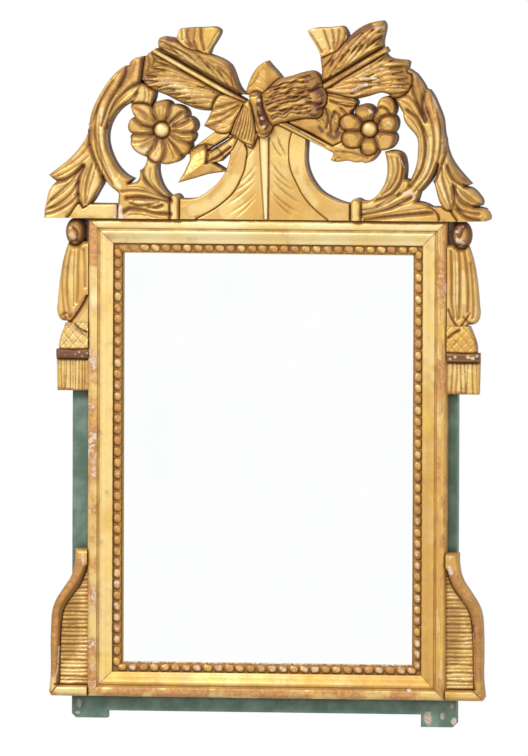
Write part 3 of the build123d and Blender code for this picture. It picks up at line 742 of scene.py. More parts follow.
        # Painted shade in the sunk gaps between the barbs.
        self.dark = np.maximum(self.dark, 0.30 * np.clip(-top / sunk, 0, 1))

    def level(self, most):
        self.height = np.minimum(self.height, most)

    def cut_above(self, points, width, depth, lowest):
        """A straight groove that stops at a height in the photograph."""
        far, _, along = distance_to_line(self.at, places(points))
        far = np.where(self.at[:, 1] > height_of(lowest), far, 1e9)
        self.gouge(far, along, width, depth, 1.0, 0.0, 0.25)

    def roof(self, points, slope, reach):
        """Slopes the surface down to both sides of a line."""
        far, _, _ = distance_to_line(self.at, places(points))
        self.height -= slope * np.clip(far, 0, reach) * (far < reach * 1.5)

    def ridge(self, points, width, rise, power=1.5):
        """Raises the surface along a smooth line."""
        far, _, _ = distance_to_line(self.at, curve_through(places(points)))
        self.height += rise * np.clip(1 - far / width, 0, 1) ** power

    def lower_within(self, points, amount, soft=1.0):
        """Lowers or raises everything inside a closed outline."""
        ring = places(points)
        far, _, _ = distance_to_line(self.at, np.vstack([ring, ring[:1]]))
        within = inside(self.at, [ring])
        self.height -= amount * np.where(within, np.clip(far / soft, 0, 1), 0)

    def dome(self, centre, radius_x, radius_z, rise, power=0.5):
        """Raises a round swelling."""
        r = self.ellipse(centre, radius_x, radius_z)
        self.height += rise * np.clip(1 - r**2, 0, 1) ** power

    def ellipse(self, centre, radius_x, radius_z):
        """Distance of each point from a centre, 1 on the ellipse round it."""
        x, z = at(*centre)
        return np.hypot((self.at[:, 0] - x) / radius_x, (self.at[:, 1] - z) / radius_z)

    def facets(self, size, slope, seed=0):
        """Small flats that the chisel leaves."""
        rng = np.random.default_rng(self.seed * 31 + seed)
        low, high = self.at.min(axis=0), self.at.max(axis=0)
        count = int(np.prod((high - low) / size)) + 4
        seeds = rng.uniform(low, high, (count, 2))
        tilt = rng.normal(0, 0.7 * slope, (count, 2))
        for start in range(0, len(self.at), batch):
            part = self.at[start : start + batch]
            gap = part[:, None, :] - seeds[None, :, :]
            nearest = (gap**2).sum(axis=2).argmin(axis=1)
            offset = part - seeds[nearest]
            self.height[start : start + batch] += (offset * tilt[nearest]).sum(axis=1)

    def wobble(self, size, amount, seed=0):
        self.height += amount * smooth_noise(self.at, size, self.seed * 17 + seed)

    def mark(self, field, radius, amount, *points):
        """A mark along a smooth line: `worn` shows clay, `chip` gesso, `dark` dirt and painted shade, `tone`
        paler leaf and painted highlights.
        """
        if len(points) > 1:
            line = curve_through(places(points))
        else:
            line = places(points * 2) + [[0, 0], [0.01, 0]]
        far, _, _ = distance_to_line(self.at, line)
        values = getattr(self, field)
        values[:] = np.clip(values + amount * np.clip(1.4 * (1 - far / radius), 0, 1), -1, darkest)

    def steepness(self, height):
        """How steep the front is at each point, from 0 where flat."""
        points = np.column_stack([self.at, height])
        a, b, c = (points[self.triangles[:, corner]] for corner in range(3))
        normals = np.cross(b - a, c - a)
        total = np.zeros((len(points), 3))
        for corner in range(3):
            np.add.at(total, self.triangles[:, corner], normals)
        level = np.abs(total[:, 2]) / np.maximum(np.linalg.norm(total, axis=1), 1e-9)
        return np.clip(2.2 * (1 - level), 0, 0.9)

    def age_and_shade(self, height, hollows, ridges, soiled):
        """The fields of the front: dirt and painted shade lie in hollows, painted shade on steep parts,
        ridges are rubbed.
        """
        soft = self.blurred(height, 6)
        curve = soft - height
        # Painted shade where the front curves into a hollow and where it is steep; the hollows also hold
        # dirt.
        added_darkness = np.clip(curve * hollows, 0, 0.7) + 0.45 * self.steepness(soft) + soiled
        dark = np.clip(self.dark + added_darkness, lowest_dark, darkest)
        worn = np.clip(self.worn + np.clip(-curve * ridges, 0, 0.35), 0, 1)
        return {"dark": dark, "worn": worn, "chip": self.chip, "tone": self.tone}

    def build(self, hollows=0.30, ridges=0.25, soiled=0.20):
        """Makes the piece: carved front, walls down to the back, flat back."""
        height = np.minimum(np.clip(self.height, thinnest, None), self.full + highest_rise)
        count = len(self.at)
        border = np.concatenate(self.rings)
        place_of = np.full(count, -1)
        place_of[border] = np.arange(len(border)) + count
        front = np.column_stack([self.at[:, 0], -(self.back + height), self.at[:, 1]])
        rear = np.insert(self.at[border], 1, -self.back, axis=1)
        faces = [self.triangles]
        for ring in self.rings:
            a, b = ring, np.roll(ring, -1)
            c, d = place_of[a], place_of[b]
            faces.append(np.column_stack([a, c, b]))
            faces.append(np.column_stack([b, c, d]))
        faces.append(place_of[self.flat][:, ::-1])
        fields = self.age_and_shade(height, hollows, ridges, soiled)
        # The walls get painted shade (dark 0.75) all over.
        for key, on_walls in (("dark", 0.75), ("worn", 0.2), ("chip", 0), ("tone", 0)):
            fields[key] = np.append(fields[key], np.full(len(border), on_walls))
        name = self.node + "_carved"
        make_object(name, np.vstack([front, rear]), np.vstack(faces), fields, gilt, replaces=(self.node,))

    def blurred(self, values, rounds):
        """The values averaged with their neighbours, a number of times."""
        edges = np.vstack([self.triangles[:, [0, 1]], self.triangles[:, [1, 2]], self.triangles[:, [2, 0]]])
        size = len(values)
        count = np.bincount(edges.ravel(), minlength=size).astype(float)
        for _ in range(rounds):
            total = np.bincount(edges[:, 0], weights=values[edges[:, 1]], minlength=size)
            total += np.bincount(edges[:, 1], weights=values[edges[:, 0]], minlength=size)
            values = total / np.maximum(count, 1)
        return values


class Together:
    """Several carvings that are cut as one. Their rims aren't rounded where they meet."""

    def __init__(self, *carvings):
        self.carvings = carvings
        for carving in carvings:
            others = np.vstack([other.border for other in carvings if other is not carving])
            free = carving.border[distance_to_points(carving.border, others) > 0.7]
            carving.rim = distance_to_points(carving.at, free)

    def __getattr__(self, name):
        def call(*values, **named):
            for carving in self.carvings:
                getattr(carving, name)(*values, **named)

        return call


def cuts(carving, lines, width, depth, **named):
    """Several grooves of one kind."""
    for line in lines:
        carving.cut(line, width, depth, **named)


def paint_marks(carving, *marks):
    """Marks of rubbing, gesso, dirt, painted shade and painted highlights, each given as its field, radius
    and amount and then the places of its line.
    """
    for mark in marks:
        carving.mark(*mark)


def comb(carving, first, last, count, width, depth, seed=0, stray=0.6, **named):
    """A row of grooves that turns from the first line to the last, each a little off its place."""
    rng = np.random.default_rng(seed + 500)
    first = curve_through(first, 3)
    last = curve_through(last, 3)
    for index in range(count):
        t = index / max(count - 1, 1)
        line = first * (1 - t) + last * t + rng.normal(0, stray, (len(first), 2)) * [0.5, 1.0]
        kept = [tuple(point) for point in line[:: max(len(line) // 4, 1)]]
        carving.cut(kept, width * rng.uniform(0.8, 1.25), depth * rng.uniform(0.7, 1.2), **named)


def chisel(carving, region, angle, count, length, width, depth, seed=0, spread=0.12):
    """Short tapered gouge marks, all about one way, over a region given as a closed outline."""
    rng = np.random.default_rng(seed + 900)
    low, high = np.min(region, axis=0), np.max(region, axis=0)
    ring = np.array(region, dtype=float)
    made = 0
    while made < count:
        x, y = rng.uniform(low, high)
        if not inside(np.array([[x, y]]), [ring])[0]:
            continue
        made += 1
        turn = angle + rng.normal(0, spread)
        half = length * rng.uniform(0.6, 1.4) / 2
        dx, dy = math.cos(turn) * half, -math.sin(turn) * half
        bow = rng.normal(0, 0.6)
        line = [(x - dx, y - dy), (x + dy / half * bow, y - dx / half * bow), (x + dx, y + dy)]
        carving.cut(line, width * rng.uniform(0.7, 1.3), depth * rng.uniform(0.6, 1.3), taper=0.35)


def collar(carving, px0, px1):
    """The upright half-round clasp between the acanthus and the band."""
    middle = (px0 + px1) / 2
    carving.ridge([(middle, 196), (middle, 208), (middle, 220)], 5.8, 2.0, 0.5)
    cuts(carving, [[(px, 197), (px, 208), (px, 219)] for px in (px0, px1)], 1.8, 4.0, dark=0.9)
    carving.mark("tone", 4, 0.7, (middle - 1, 200), (middle - 1, 217))


def carve_left_side():
    side = Together(
        Carving("scroll_left", seed=11),
        Carving("corner_leaves_left", seed=12),
        Carving("acanthus_left", seed=13),
    )
    side.level(17)
    side.round_rim(5.0, 7.5)
    side.wobble(22, 0.7)
    deep = [
        [(127, 69), (126, 78), (121, 88), (115, 97), (110, 106), (106, 117), (103, 127)],
        [(143, 60), (142.5, 72), (141, 84)],
        [(140, 86), (131, 90), (123, 97), (115, 107), (110, 118), (107.5, 130)],
        [(90, 133), (91, 146), (94, 156), (98, 166), (103.5, 178)],
        [(84, 168), (77, 175), (68, 181), (60, 183), (56, 183.5)],
        [(85, 168), (81, 178), (79.5, 188), (80, 199), (82, 208)],
        [(143, 168), (144, 176), (148, 183), (155, 190), (163, 196), (172, 201)],
        [(128, 199.5), (140, 198.5), (155, 200), (172, 202)],
        [(125, 213), (133, 209.5), (145, 211), (158, 214), (172, 215)],
        [(150, 208), (157, 208.5), (163, 206)],
    ]
    cuts(side, deep, 3.6, 5.5, dark=0.8)
    outer_vein = [(113, 84), (106, 95), (100, 107), (97, 120), (96.5, 135)]
    outer_vein += [(98, 150), (102, 163), (108, 175), (114, 186)]
    middle = [
        outer_vein,
        [(80, 172), (73, 183), (65, 191), (57, 198), (49, 206)],
        [(80, 184), (72, 196), (63, 204), (54, 209), (46, 212)],
        [(80, 196), (73, 204), (64, 210), (54, 214.5), (46, 216)],
        [(94, 166), (90, 177), (87.5, 189), (87, 204)],
        [(123, 193), (134, 191.5), (147, 192.5), (160, 196.5), (171, 199.5)],
        [(132, 204), (139, 207), (149, 206), (160, 203)],
        [(138, 95), (131, 102), (124, 107), (116, 114), (111, 123)],
        [(132, 108), (136.5, 98), (140, 89)],
    ]
    cuts(side, middle, 2.7, 3.0, dark=0.6)
    fine = [
        [(137, 64), (133, 75), (128, 85), (121, 95), (115, 105), (110, 116)],
        [(121, 74), (115, 83), (107, 95), (100, 108), (95, 122), (92, 134)],
        [(132, 68), (130, 78), (124, 88), (118, 96)],
        [(133, 93), (125, 99), (118, 107), (113, 117)],
        [(101, 118), (100, 132), (101, 148), (106, 163), (113, 178)],
        [(91, 147), (84, 156), (75, 164), (66, 169.5), (57, 174.5), (51, 177)],
        [(90, 158), (82, 165), (72, 172), (63, 177), (55, 180)],
        [(77, 182), (68, 191), (59, 198), (52, 202)],
        [(76, 196), (67, 204), (58, 208), (50, 210)],
        [(98, 167), (95, 178), (91, 190), (88.5, 202)],
        [(89, 171), (85, 182), (83.5, 194), (84, 205)],
        [(152, 170), (151, 178), (155, 186), (163, 194)],
        [(130, 188), (142, 188.5), (154, 192), (165, 197)],
        [(129, 215.5), (142, 215), (156, 217.5), (171, 218.5)],
        [(138, 185), (142, 178), (141, 171)],
        [(146, 90), (146, 98), (144, 107)],
        [(150, 92), (150, 100), (148, 109)],
    ]
    cuts(side, fine, 1.8, 1.5, dark=0.4)
    side.dome((141, 203), 8.5, 3.6, 2.0)
    collar(side, 171, 181)
    side.ridge([(104.5, 118), (103.5, 135), (104, 150), (108, 166), (115, 181)], 4.0, 1.2)
    side.facets(12, 0.025)
    side.wobble(4, 0.10, 5)
    paint_marks(
        side,
        ("chip", 4.5, 0.75, (122, 208), (122, 214), (123, 219)),
        ("chip", 2.5, 0.5, (131, 213), (128, 216)),
        ("worn", 9, 0.35, (124, 72), (118, 86), (108, 102)),
        ("worn", 8, 0.45, (136, 66), (131, 80)),
        ("worn", 8, 0.35, (96, 118), (92, 140), (84, 156), (70, 168)),
        ("chip", 2.6, 0.42, (56, 181), (64, 180), (73, 175)),
        ("chip", 2.6, 0.40, (83, 200), (84, 190), (87, 178)),
        ("worn", 4.5, 0.65, (134, 106), (150, 107)),
        ("chip", 2.4, 0.40, (134, 107), (149, 108)),
        # Painted highlight along the scroll's rolled ridge.
        ("tone", 3.6, 0.9, (104, 112), (101.5, 128), (102.5, 145), (106, 162), (113, 177), (121, 188)),
        ("tone", 5, 0.5, (94, 170), (96, 185), (90, 200)),
        ("tone", 5, 0.4, (143, 95), (148, 100)),
        ("tone", 4, 0.9, (140, 202), (146, 203)),
        ("tone", 5, 0.4, (148, 176), (153, 186)),
        # Painted shade on the shaded side between the outer leaves.
        ("dark", 4.5, 0.35, (131, 66), (128, 76), (122, 88)),
        ("dark", 5.5, 0.30, (98, 108), (92, 124), (91, 138)),
        ("tone", 7, 0.3, (50, 205), (56, 192)),
        # Painted shade between the outer leaves.
        ("dark", 4, 0.4, (124, 78), (120, 88)),
        ("dark", 4, 0.6, (134, 85), (139, 86)),
    )
    side.build()


def carve_right_side():
    side = Together(
        Carving("scroll_right", seed=21),
        Carving("corner_leaves_right", seed=22),
        Carving("acanthus_right", seed=23),
    )
    side.level(17)
    side.round_rim(5.0, 7.5)
    side.wobble(22, 0.7)
    deep = [
        [(406, 110), (416, 117), (422, 129), (424.5, 145), (423, 160), (419, 172), (410, 185)],
        [(446, 149), (442, 160), (438, 170), (432, 183)],
        [(446, 165), (449, 173), (455, 180.5), (463, 184), (472, 185)],
        [(453, 186), (456, 195), (463, 202), (472, 204.5), (482, 204)],
        [(452, 183), (453.5, 195), (452, 205), (449, 210)],
        [(455, 204), (460, 211), (468, 216.5), (478, 218.5)],
        [(400, 152), (402.5, 162), (402, 172), (400, 181), (395, 189), (388, 195), (376, 199)],
        [(362, 214), (375, 211), (390, 207), (402, 201), (411, 196)],
        [(409, 78), (411, 88), (415, 100), (420, 112), (424, 121)],
        [(424, 91), (421.5, 101), (421, 110), (425, 119)],
        [(364, 218.5), (385, 215.5), (410, 213), (432, 211)],
    ]
    cuts(side, deep, 3.4, 5.2, dark=0.8)
    middle = [
        [(427, 112), (431, 124), (433, 138), (432.5, 152), (430, 164), (425, 176), (414, 190)],
        [(436, 112), (439, 126), (439.5, 142), (438, 156), (433, 169), (427, 180), (419, 190)],
        [(362, 209), (372, 207.5), (384, 203.5), (392, 198), (399, 193)],
        [(377, 205), (385, 200), (393, 194.5)],
        [(410, 177), (408.5, 185), (404, 190), (397, 194)],
        [(455, 184), (461, 191), (469, 198), (478, 202)],
        [(440, 168), (443, 182), (447, 195), (449.5, 205)],
        [(386, 93), (399, 93.5), (410, 98), (418, 106), (423, 114)],
        [(397, 157), (398, 168), (395.5, 178), (390, 187), (381, 194)],
        [(455, 207), (464, 210), (478, 212)],
    ]
    cuts(side, middle, 2.7, 3.0, dark=0.6)
    fine = [
        [(404, 113), (412, 121), (418, 131), (420.5, 145), (419, 160), (415, 171), (409, 179)],
        [(418, 122), (427, 138), (428, 152), (425, 165), (419, 178)],
        [(416, 77), (419, 88), (423, 100), (427, 112)],
        [(430, 93), (431, 104), (433, 114)],
        [(441, 112), (444, 126), (445, 140), (443, 152)],
        [(388, 98), (398, 99.5), (407, 104), (413, 111)],
        [(449, 159), (455, 169), (462, 177), (469, 182.5)],
        [(455, 191), (461, 198), (468, 202)],
        [(459, 186), (467, 194), (475, 199)],
        [(436, 180), (441, 193), (447, 205)],
        [(444, 172), (449, 184), (451.5, 197)],
        [(391, 156), (393, 168), (391, 179), (386, 188)],
        [(362, 217), (380, 213), (400, 210), (418, 207.5), (431, 205)],
        [(366, 211), (380, 207.5), (394, 202), (404, 197)],
        [(404, 180), (402, 187), (398, 191)],
        [(398, 204), (408, 202), (414, 199)],
    ]
    cuts(side, fine, 1.8, 1.5, dark=0.4)
    collar(side, 350, 361)
    side.facets(12, 0.025)
    side.wobble(4, 0.10, 5)
    paint_marks(
        side,
        ("chip", 5.5, 0.85, (432, 92), (434, 99), (437, 106)),
        ("chip", 2.5, 0.65, (411, 76), (411, 83)),
        ("worn", 7.5, 0.9, (423, 100), (426, 112), (430, 119)),
        ("worn", 7, 0.45, (417, 80), (423, 95)),
        ("worn", 6, 0.6, (455, 172), (461, 180)),
        ("worn", 6, 0.35, (443, 118), (445, 140)),
        ("chip", 4.0, 0.7, (404, 192), (411, 191), (414, 196)),
        ("chip", 3.0, 0.30, (427, 120), (431, 140), (429, 158)),
        ("chip", 2.2, 0.55, (400, 158), (403, 166)),
        ("tone", 3.6, 0.8, (418, 186), (426, 172), (429, 155), (428, 138)),
        ("tone", 4, 0.7, (441, 182), (447, 200)),
        ("tone", 4, 0.4, (392, 160), (391, 178)),
        ("dark", 5, 0.45, (414, 84), (420, 98), (425, 108)),
        ("dark", 5, 0.30, (437, 118), (441, 134), (441, 150)),
        ("dark", 4, 0.45, (447, 163), (455, 174), (464, 181)),
        ("dark", 4.5, 0.55, (426, 108), (428, 114)),
        ("tone", 6, 0.5, (436, 180), (444, 192)),
        ("tone", 6, 0.5, (366, 208), (384, 205)),
    )
    side.build()


def carve_base_blocks():
    block = Carving("base_blocks", pitch=1.1, seed=31)
    block.round_rim(2.5, 2.2)
    block.wobble(14, 0.5)
    block.facets(16, 0.02)
    paint_marks(
        block,
        ("chip", 4, 0.6, (116, 207), (118, 213), (117, 218)),
        ("worn", 7, 0.55, (434, 208), (437, 216)),
        ("chip", 2.5, 0.5, (433, 206), (430, 211)),
        ("tone", 12, 0.4, (85, 211), (110, 211)),
    )
    block.build()


def open_rosette(node, centre, seed):
    """A flower ready to cut, and the distance and angle of each of its points from its eye."""
    flower = Carving(node, pitch=0.7, seed=seed)
    flower.round_rim(4.2, 6.5)
    offset = flower.at - at(*centre)
    r = np.hypot(offset[:, 0], offset[:, 1])
    angle = np.degrees(np.arctan2(offset[:, 1], offset[:, 0]))
    return flower, r, angle


def veins(flower, r, angle, count, inner, outer):
    """Fine lines that run out from the eye, with painted shade along them."""
    for place in range(count):
        turn = (angle - (place + 0.3 * math.sin(7.0 * place)) * 360 / count + 180) % 360 - 180
        off = np.abs(np.radians(turn)) * r
        fade = np.clip((r - inner) / 4, 0, 1) * np.clip((outer - r) / 5, 0, 1)
        flower.height -= 0.9 * np.clip(1 - off / 1.3, 0, 1) * fade
        flower.dark = np.maximum(flower.dark, 0.22 * np.clip(1 - off / 0.8, 0, 1) * fade)


def carve_rosette_left():
    flower, r, angle = open_rosette("rosette_left", (162.3, 131.5), 41)
    flower.height -= 5.0 * np.clip((21 - r) / 13, 0, 1) ** 1.3
    seams = [
        [(157, 122), (154.5, 116), (153.3, 108)],
        [(166, 122.5), (169.5, 116), (171.6, 106)],
        [(170, 124.5), (177, 119), (183, 114), (188, 114)],
        [(173.5, 128), (182, 125.5), (189, 122), (188.5, 118)],
        [(173.5, 132.5), (183, 134.5), (194, 133.5)],
        [(171.5, 136.5), (180, 141), (190.5, 145)],
        [(168.5, 140), (175, 147), (179.5, 153), (183, 157)],
        [(164, 141), (166, 150), (164.5, 158), (161, 164)],
        [(158.5, 140), (156, 147), (151.5, 152.5), (148, 159)],
        [(153.5, 136), (144, 136.5), (133, 136.5), (131, 141)],
        [(153, 129.5), (143, 126.5), (136.5, 121), (134.5, 118)],
    ]
    cuts(flower, seams, 3.4, 5.4, power=1.1, dark=0.75)
    soft = [
        [(154, 136.5), (146, 142), (137, 144), (131, 143)],
        [(155.5, 123.5), (148, 117), (140, 112), (133, 108)],
        [(174, 127), (184, 120.5), (192, 121)],
        [(172, 134.5), (183, 139), (191, 139.5)],
        [(166.5, 141), (172, 150), (175, 160)],
    ]
    cuts(flower, soft, 2.4, 2.2, dark=0.3)
    veins(flower, r, angle, 34, 11, 28)
    finish_rosette(flower, r, (162.3, 131.5), 10.0)
    paint_marks(
        flower,
        ("dark", 5, 0.45, (158, 106), (163, 104.5), (168, 107)),
        ("worn", 6, 0.40, (157, 108), (163, 106), (170, 110)),
        ("worn", 6, 0.60, (134, 109), (142, 112), (147, 118)),
        ("dark", 4, 0.45, (141, 115), (147, 119)),
        ("chip", 4.4, 0.52, (137, 150), (144, 152.5), (150, 150)),
        ("dark", 3.6, 0.55, (143, 147), (151, 144), (155, 141)),
        ("chip", 3.4, 0.50, (156, 162), (159, 156)),
        ("chip", 2.0, 0.6, (192, 130), (194, 127)),
        ("dark", 2.6, 0.6, (193, 120), (196.5, 126), (194, 133)),
        ("dark", 2.6, 0.5, (131, 132), (130, 126)),
    )
    flower.build()


def carve_rosette_right():
    flower, r, angle = open_rosette("rosette_right", (368.5, 129), 42)
    flower.height -= 5.5 * np.clip((19 - r) / 10, 0, 1) ** 1.2
    wide_petals = [(363.5, 112), (386, 141), (387.5, 122.5)]
    narrow_petals = [(348, 122), (350.5, 139.5), (369, 147)]
    for petals, radius in ((wide_petals, 10), (narrow_petals, 9.5)):
        for centre in petals:
            flower.dome(centre, radius, radius, 2.4, 1.0)
    seams = [
        [(372, 120), (374.5, 112), (374, 107)],
        [(377, 124.5), (381, 117.5), (388, 115), (393, 115.5)],
        [(377.5, 131.5), (384, 132), (392, 132.5)],
        [(373, 137.5), (376, 143), (377.5, 149.5)],
        [(364, 137.5), (361, 142.5), (359.8, 148)],
        [(359.5, 131), (352, 131), (345, 131)],
        [(361.5, 122.5), (358, 117.5), (354.5, 115.5)],
    ]
    cuts(flower, seams, 3.2, 5.5, power=1.1, dark=0.75)
    flower.cut([(375.5, 112), (379, 107.5), (384, 107.5), (388, 111), (389, 114.5)], 2.4, 4.0, dark=0.6)
    flower.cut([(378, 101.5), (384, 101), (389.5, 104.5), (391, 110)], 2.4, 1.6, dark=0.25)
    flower.dome((382, 111.5), 6.5, 4.5, 1.6)
    veins(flower, r, angle, 30, 11, 22)
    finish_rosette(flower, r, (368.5, 129), 10.2)
    # Painted shade: the whole flower's leaf is darker.
    flower.tone -= 0.35
    paint_marks(
        flower,
        ("dark", 6, 0.80, (356, 109), (361, 107), (368, 108)),
        ("dark", 4, 0.45, (342, 119), (345, 127)),
        ("dark", 4, 0.45, (343, 138), (348, 145)),
        ("dark", 4, 0.45, (362, 150), (372, 151)),
        ("dark", 4, 0.45, (392, 118), (394, 134), (391, 144)),
        ("chip", 4.0, 0.50, (385, 124), (388, 122), (391, 124)),
        ("chip", 2.4, 0.9, (369, 110), (371, 112)),
        ("chip", 3.6, 0.40, (380, 144), (386, 145)),
        ("worn", 5, 0.65, (344, 121), (345, 127)),
        ("chip", 2.4, 0.42, (344, 120), (346, 124)),
        ("worn", 5, 0.55, (346, 136), (348, 144)),
        ("worn", 4.5, 0.50, (362, 150), (370, 151)),
        ("dark", 3.5, 0.40, (362, 149), (366, 152)),
        ("worn", 4, 0.45, (378, 98), (386, 98), (391, 104)),
    )
    flower.build()


def finish_rosette(flower, r, centre, eye):
    """Sinks a ring round the eye, domes the eye and adds the marks of the tool, with painted shade towards
    the eye and in the ring, and a paler eye.
    """
    flower.facets(7, 0.035)
    flower.wobble(9, 0.35)
    flower.mark("dark", 26, 0.30, centre)
    button = np.clip(1 - (r / eye) ** 2, 0, 1) ** 0.5
    flower.height = np.where(r < eye, flower.full * 0.50 + 6.2 * button, flower.height)
    ring = np.clip(1 - np.abs(r - eye - 0.3) / 1.8, 0, 1)
    flower.height -= 4.0 * ring
    flower.dark = np.where(r < eye - 0.8, 0, np.maximum(flower.dark, 0.9 * ring))
    flower.mark("tone", eye, 0.9, centre)


def carve_sheaf():
    sheaf = Carving("sheaf", seed=51)
    sheaf.round_rim(11, 9)
    sheaf.wobble(16, 0.8)
    for centre, rx, rz in (((312, 83), 9, 8), ((317, 97), 8, 9), ((315, 110), 9, 7), ((303, 78), 9, 6)):
        sheaf.dome(centre, rx, rz, 2.6)
    between_ends = [[(318, 88), (311, 91), (306, 90)], [(321, 104), (313, 104), (308, 103)]]
    cuts(sheaf, between_ends, 2.6, 4.0, dark=0.8)
    top, foot = [(262, 92), (285, 84), (308, 79)], [(273, 121), (292, 115), (312, 112)]
    comb(sheaf, top, foot, 9, 1.7, 3.0, seed=1, stray=1.1, dark=0.7)
    whole = [(262, 90), (305, 74), (320, 82), (322, 110), (272, 122)]
    chisel(sheaf, whole, math.radians(20), 90, 10, 1.3, 2.6, seed=2)
    sheaf.facets(6, 0.06)
    paint_marks(
        sheaf,
        ("dark", 9, 0.75, (311, 81), (319, 90), (320, 104), (314, 114)),
        ("dark", 5, 0.45, (270, 88), (290, 79), (306, 73)),
        ("worn", 7, 0.35, (313, 85), (317, 99), (313, 111)),
        ("chip", 3.0, 0.42, (316, 93), (319, 95)),
        ("chip", 3.0, 0.42, (311, 108), (314, 112)),
        ("worn", 14, 0.30, (270, 100), (300, 96)),
    )
    sheaf.build(hollows=0.4, soiled=0.32)


def carve_binding():
    binding = Carving("binding", pitch=0.6, seed=52)
    binding.round_rim(5, 6)
    hole = [(257, 99), (262, 96), (268, 103), (271, 114)]
    hole += [(271.5, 126), (267, 131), (262, 126), (258.5, 114)]
    binding.lower_within(hole, 5.5, 2.0)
    beads = [(261, 101, 3.6), (259.8, 108, 2.8), (261.5, 113.5, 2.9)]
    beads += [(264.5, 119.5, 2.8), (265.5, 127, 3.2)]
    for px, py, radius in beads:
        binding.dome((px, py), radius, radius, 4.0)
    strands = [[(250, 97), (257, 96), (262, 94)], [(252, 106), (254, 114), (258, 126), (261, 132)]]
    cuts(binding, strands, 2.2, 3.0, dark=0.7)
    binding.cut([(258, 132.5), (265, 135), (270, 132)], 1.8, 3.2, dark=0.8)
    binding.facets(5, 0.10)
    paint_marks(
        binding,
        ("worn", 8, 0.5, (262, 104), (266, 124)),
        ("dark", 7, 1.1, (262, 100), (265, 124)),
        ("dark", 4.0, 0.9, (262, 96), (267, 106), (269.5, 117), (269, 128), (264, 131)),
        ("dark", 3.0, 0.8, (256, 104), (258.5, 114), (261, 124)),
        ("dark", 2.4, 0.8, (248, 96), (254, 93.5), (261, 94)),
    )
    bare_spots = (
        ((259, 101), 4.2, 0.95),
        ((260, 110), 3.2, 0.75),
        ((262.5, 119), 3.4, 0.8),
        ((265, 127), 3.2, 0.8),
    )
    for spot, size, amount in bare_spots:
        paint_marks(
            binding,
            ("dark", size * 1.4, -0.9, spot),
            ("chip", size, amount, spot),
        )
    binding.mark("tone", 4, 0.6, (251, 100), (255, 112))
    binding.build()


def carve_tassel_end():
    tassel = Carving("tassel_end", pitch=0.7, seed=53)
    tassel.round_rim(5, 6)
    first, last = [(241, 106), (236, 120), (230, 136)], [(256, 114), (257, 128), (255, 142)]
    comb(tassel, first, last, 9, 1.8, 2.6, seed=3, stray=0.3, dark=0.7)
    tassel.cut([(230, 134), (237, 139), (246, 144), (252, 145)], 1.6, 2.4, dark=0.7)
    tassel.facets(6, 0.05)
    paint_marks(
        tassel,
        ("worn", 8, 0.55, (242, 112), (238, 126)),
        ("dark", 4, 0.5, (238, 112), (231, 126), (229, 133)),
    )
    for spot in ((236, 138), (240, 141), (244, 144), (248, 145)):
        tassel.mark("chip", 2.0, 0.65, spot)
    tassel.build()


def carve_cloth_fold():
    cloth = Carving("cloth_fold", seed=54)
    cloth.round_rim(4, 5)
    deep = [
        [(213, 111), (222, 108), (235, 104), (245, 100)],
        [(210, 119), (222, 116), (235, 109), (243, 103)],
        [(207, 128), (219, 124), (231, 116), (240, 107)],
    ]
    cuts(cloth, deep, 4.2, 4.2, power=1.6, dark=0.45)
    first, last = [(216, 99), (228, 101), (242, 99)], [(216, 131), (226, 129), (236, 120)]
    comb(cloth, first, last, 9, 1.5, 0.7, seed=4, stray=0.5, dark=0.2)
    cloth.facets(9, 0.04)
    paint_marks(
        cloth,
        ("worn", 4, 0.5, (208, 127), (215, 130)),
        ("dark", 3.5, 0.45, (212, 129), (224, 127)),
    )
    cloth.build()


def carve_arrow_one():
    arrow = Carving("arrow_one", pitch=0.7, seed=61)
    arrow.round_rim(2.6, 3.5)
    arrow.cut([(262, 118), (290, 124), (318, 139), (345, 152)], 1.4, 0.8, dark=0.2)
    arrow.cut([(282, 122), (300, 132), (325, 146)], 2.2, 2.6, dark=0.55)
    arrow.cut([(336, 151), (352, 152.5), (368, 157)], 1.8, 1.6)
    arrow.wobble(7, 0.4)
    arrow.facets(9, 0.05)
    paint_marks(
        arrow,
        ("tone", 3.5, 0.35, (160, 56), (200, 79), (243, 102)),
        ("chip", 2.4, 0.40, (208, 79), (214, 83)),
        ("worn", 4, 0.7, (236, 98), (246, 104)),
        ("tone", 3.0, 0.6, (292, 125), (318, 139)),
        ("tone", 12, -0.5, (334, 156), (370, 157)),
        ("dark", 7, 0.25, (334, 153), (370, 155)),
    )
    arrow.build()


def carve_arrow_two():
    arrow = Carving("arrow_two", pitch=0.7, seed=62)
    arrow.round_rim(2.8, 3.5)
    arrow.cut([(211, 152), (222, 145), (234, 136)], 2.6, 5.5, dark=0.95)
    arrow.cut([(206, 147), (208.5, 155), (207, 163)], 2.4, 4.0, dark=0.7)
    arrow.cut([(208, 163), (219, 157), (231, 148)], 2.4, 5.0, dark=0.8)
    arrow.cut([(205, 165), (214, 163), (226, 170)], 1.8, 1.6)
    arrow.roof([(179, 184), (192, 173), (207, 163)], 0.30, 15)
    shaft_in_vane = [(322, 83), (336, 75.5), (350, 66.5), (366, 56.5), (381, 48.5)]
    arrow.cut(shaft_in_vane, 3.0, 6.5, power=0.7, dark=0.95)
    arrow.mark("worn", 2.6, 0.75, (330, 83), (346, 75), (366, 63), (382, 54))
    arrow.wobble(7, 0.4)
    arrow.facets(10, 0.05)
    paint_marks(
        arrow,
        ("tone", 3.0, 0.6, (216, 157), (232, 143)),
        ("tone", 6.0, 0.25, (196, 158), (190, 170)),
        ("worn", 3.0, 0.7, (217, 150), (230, 141)),
    )
    arrow.build()


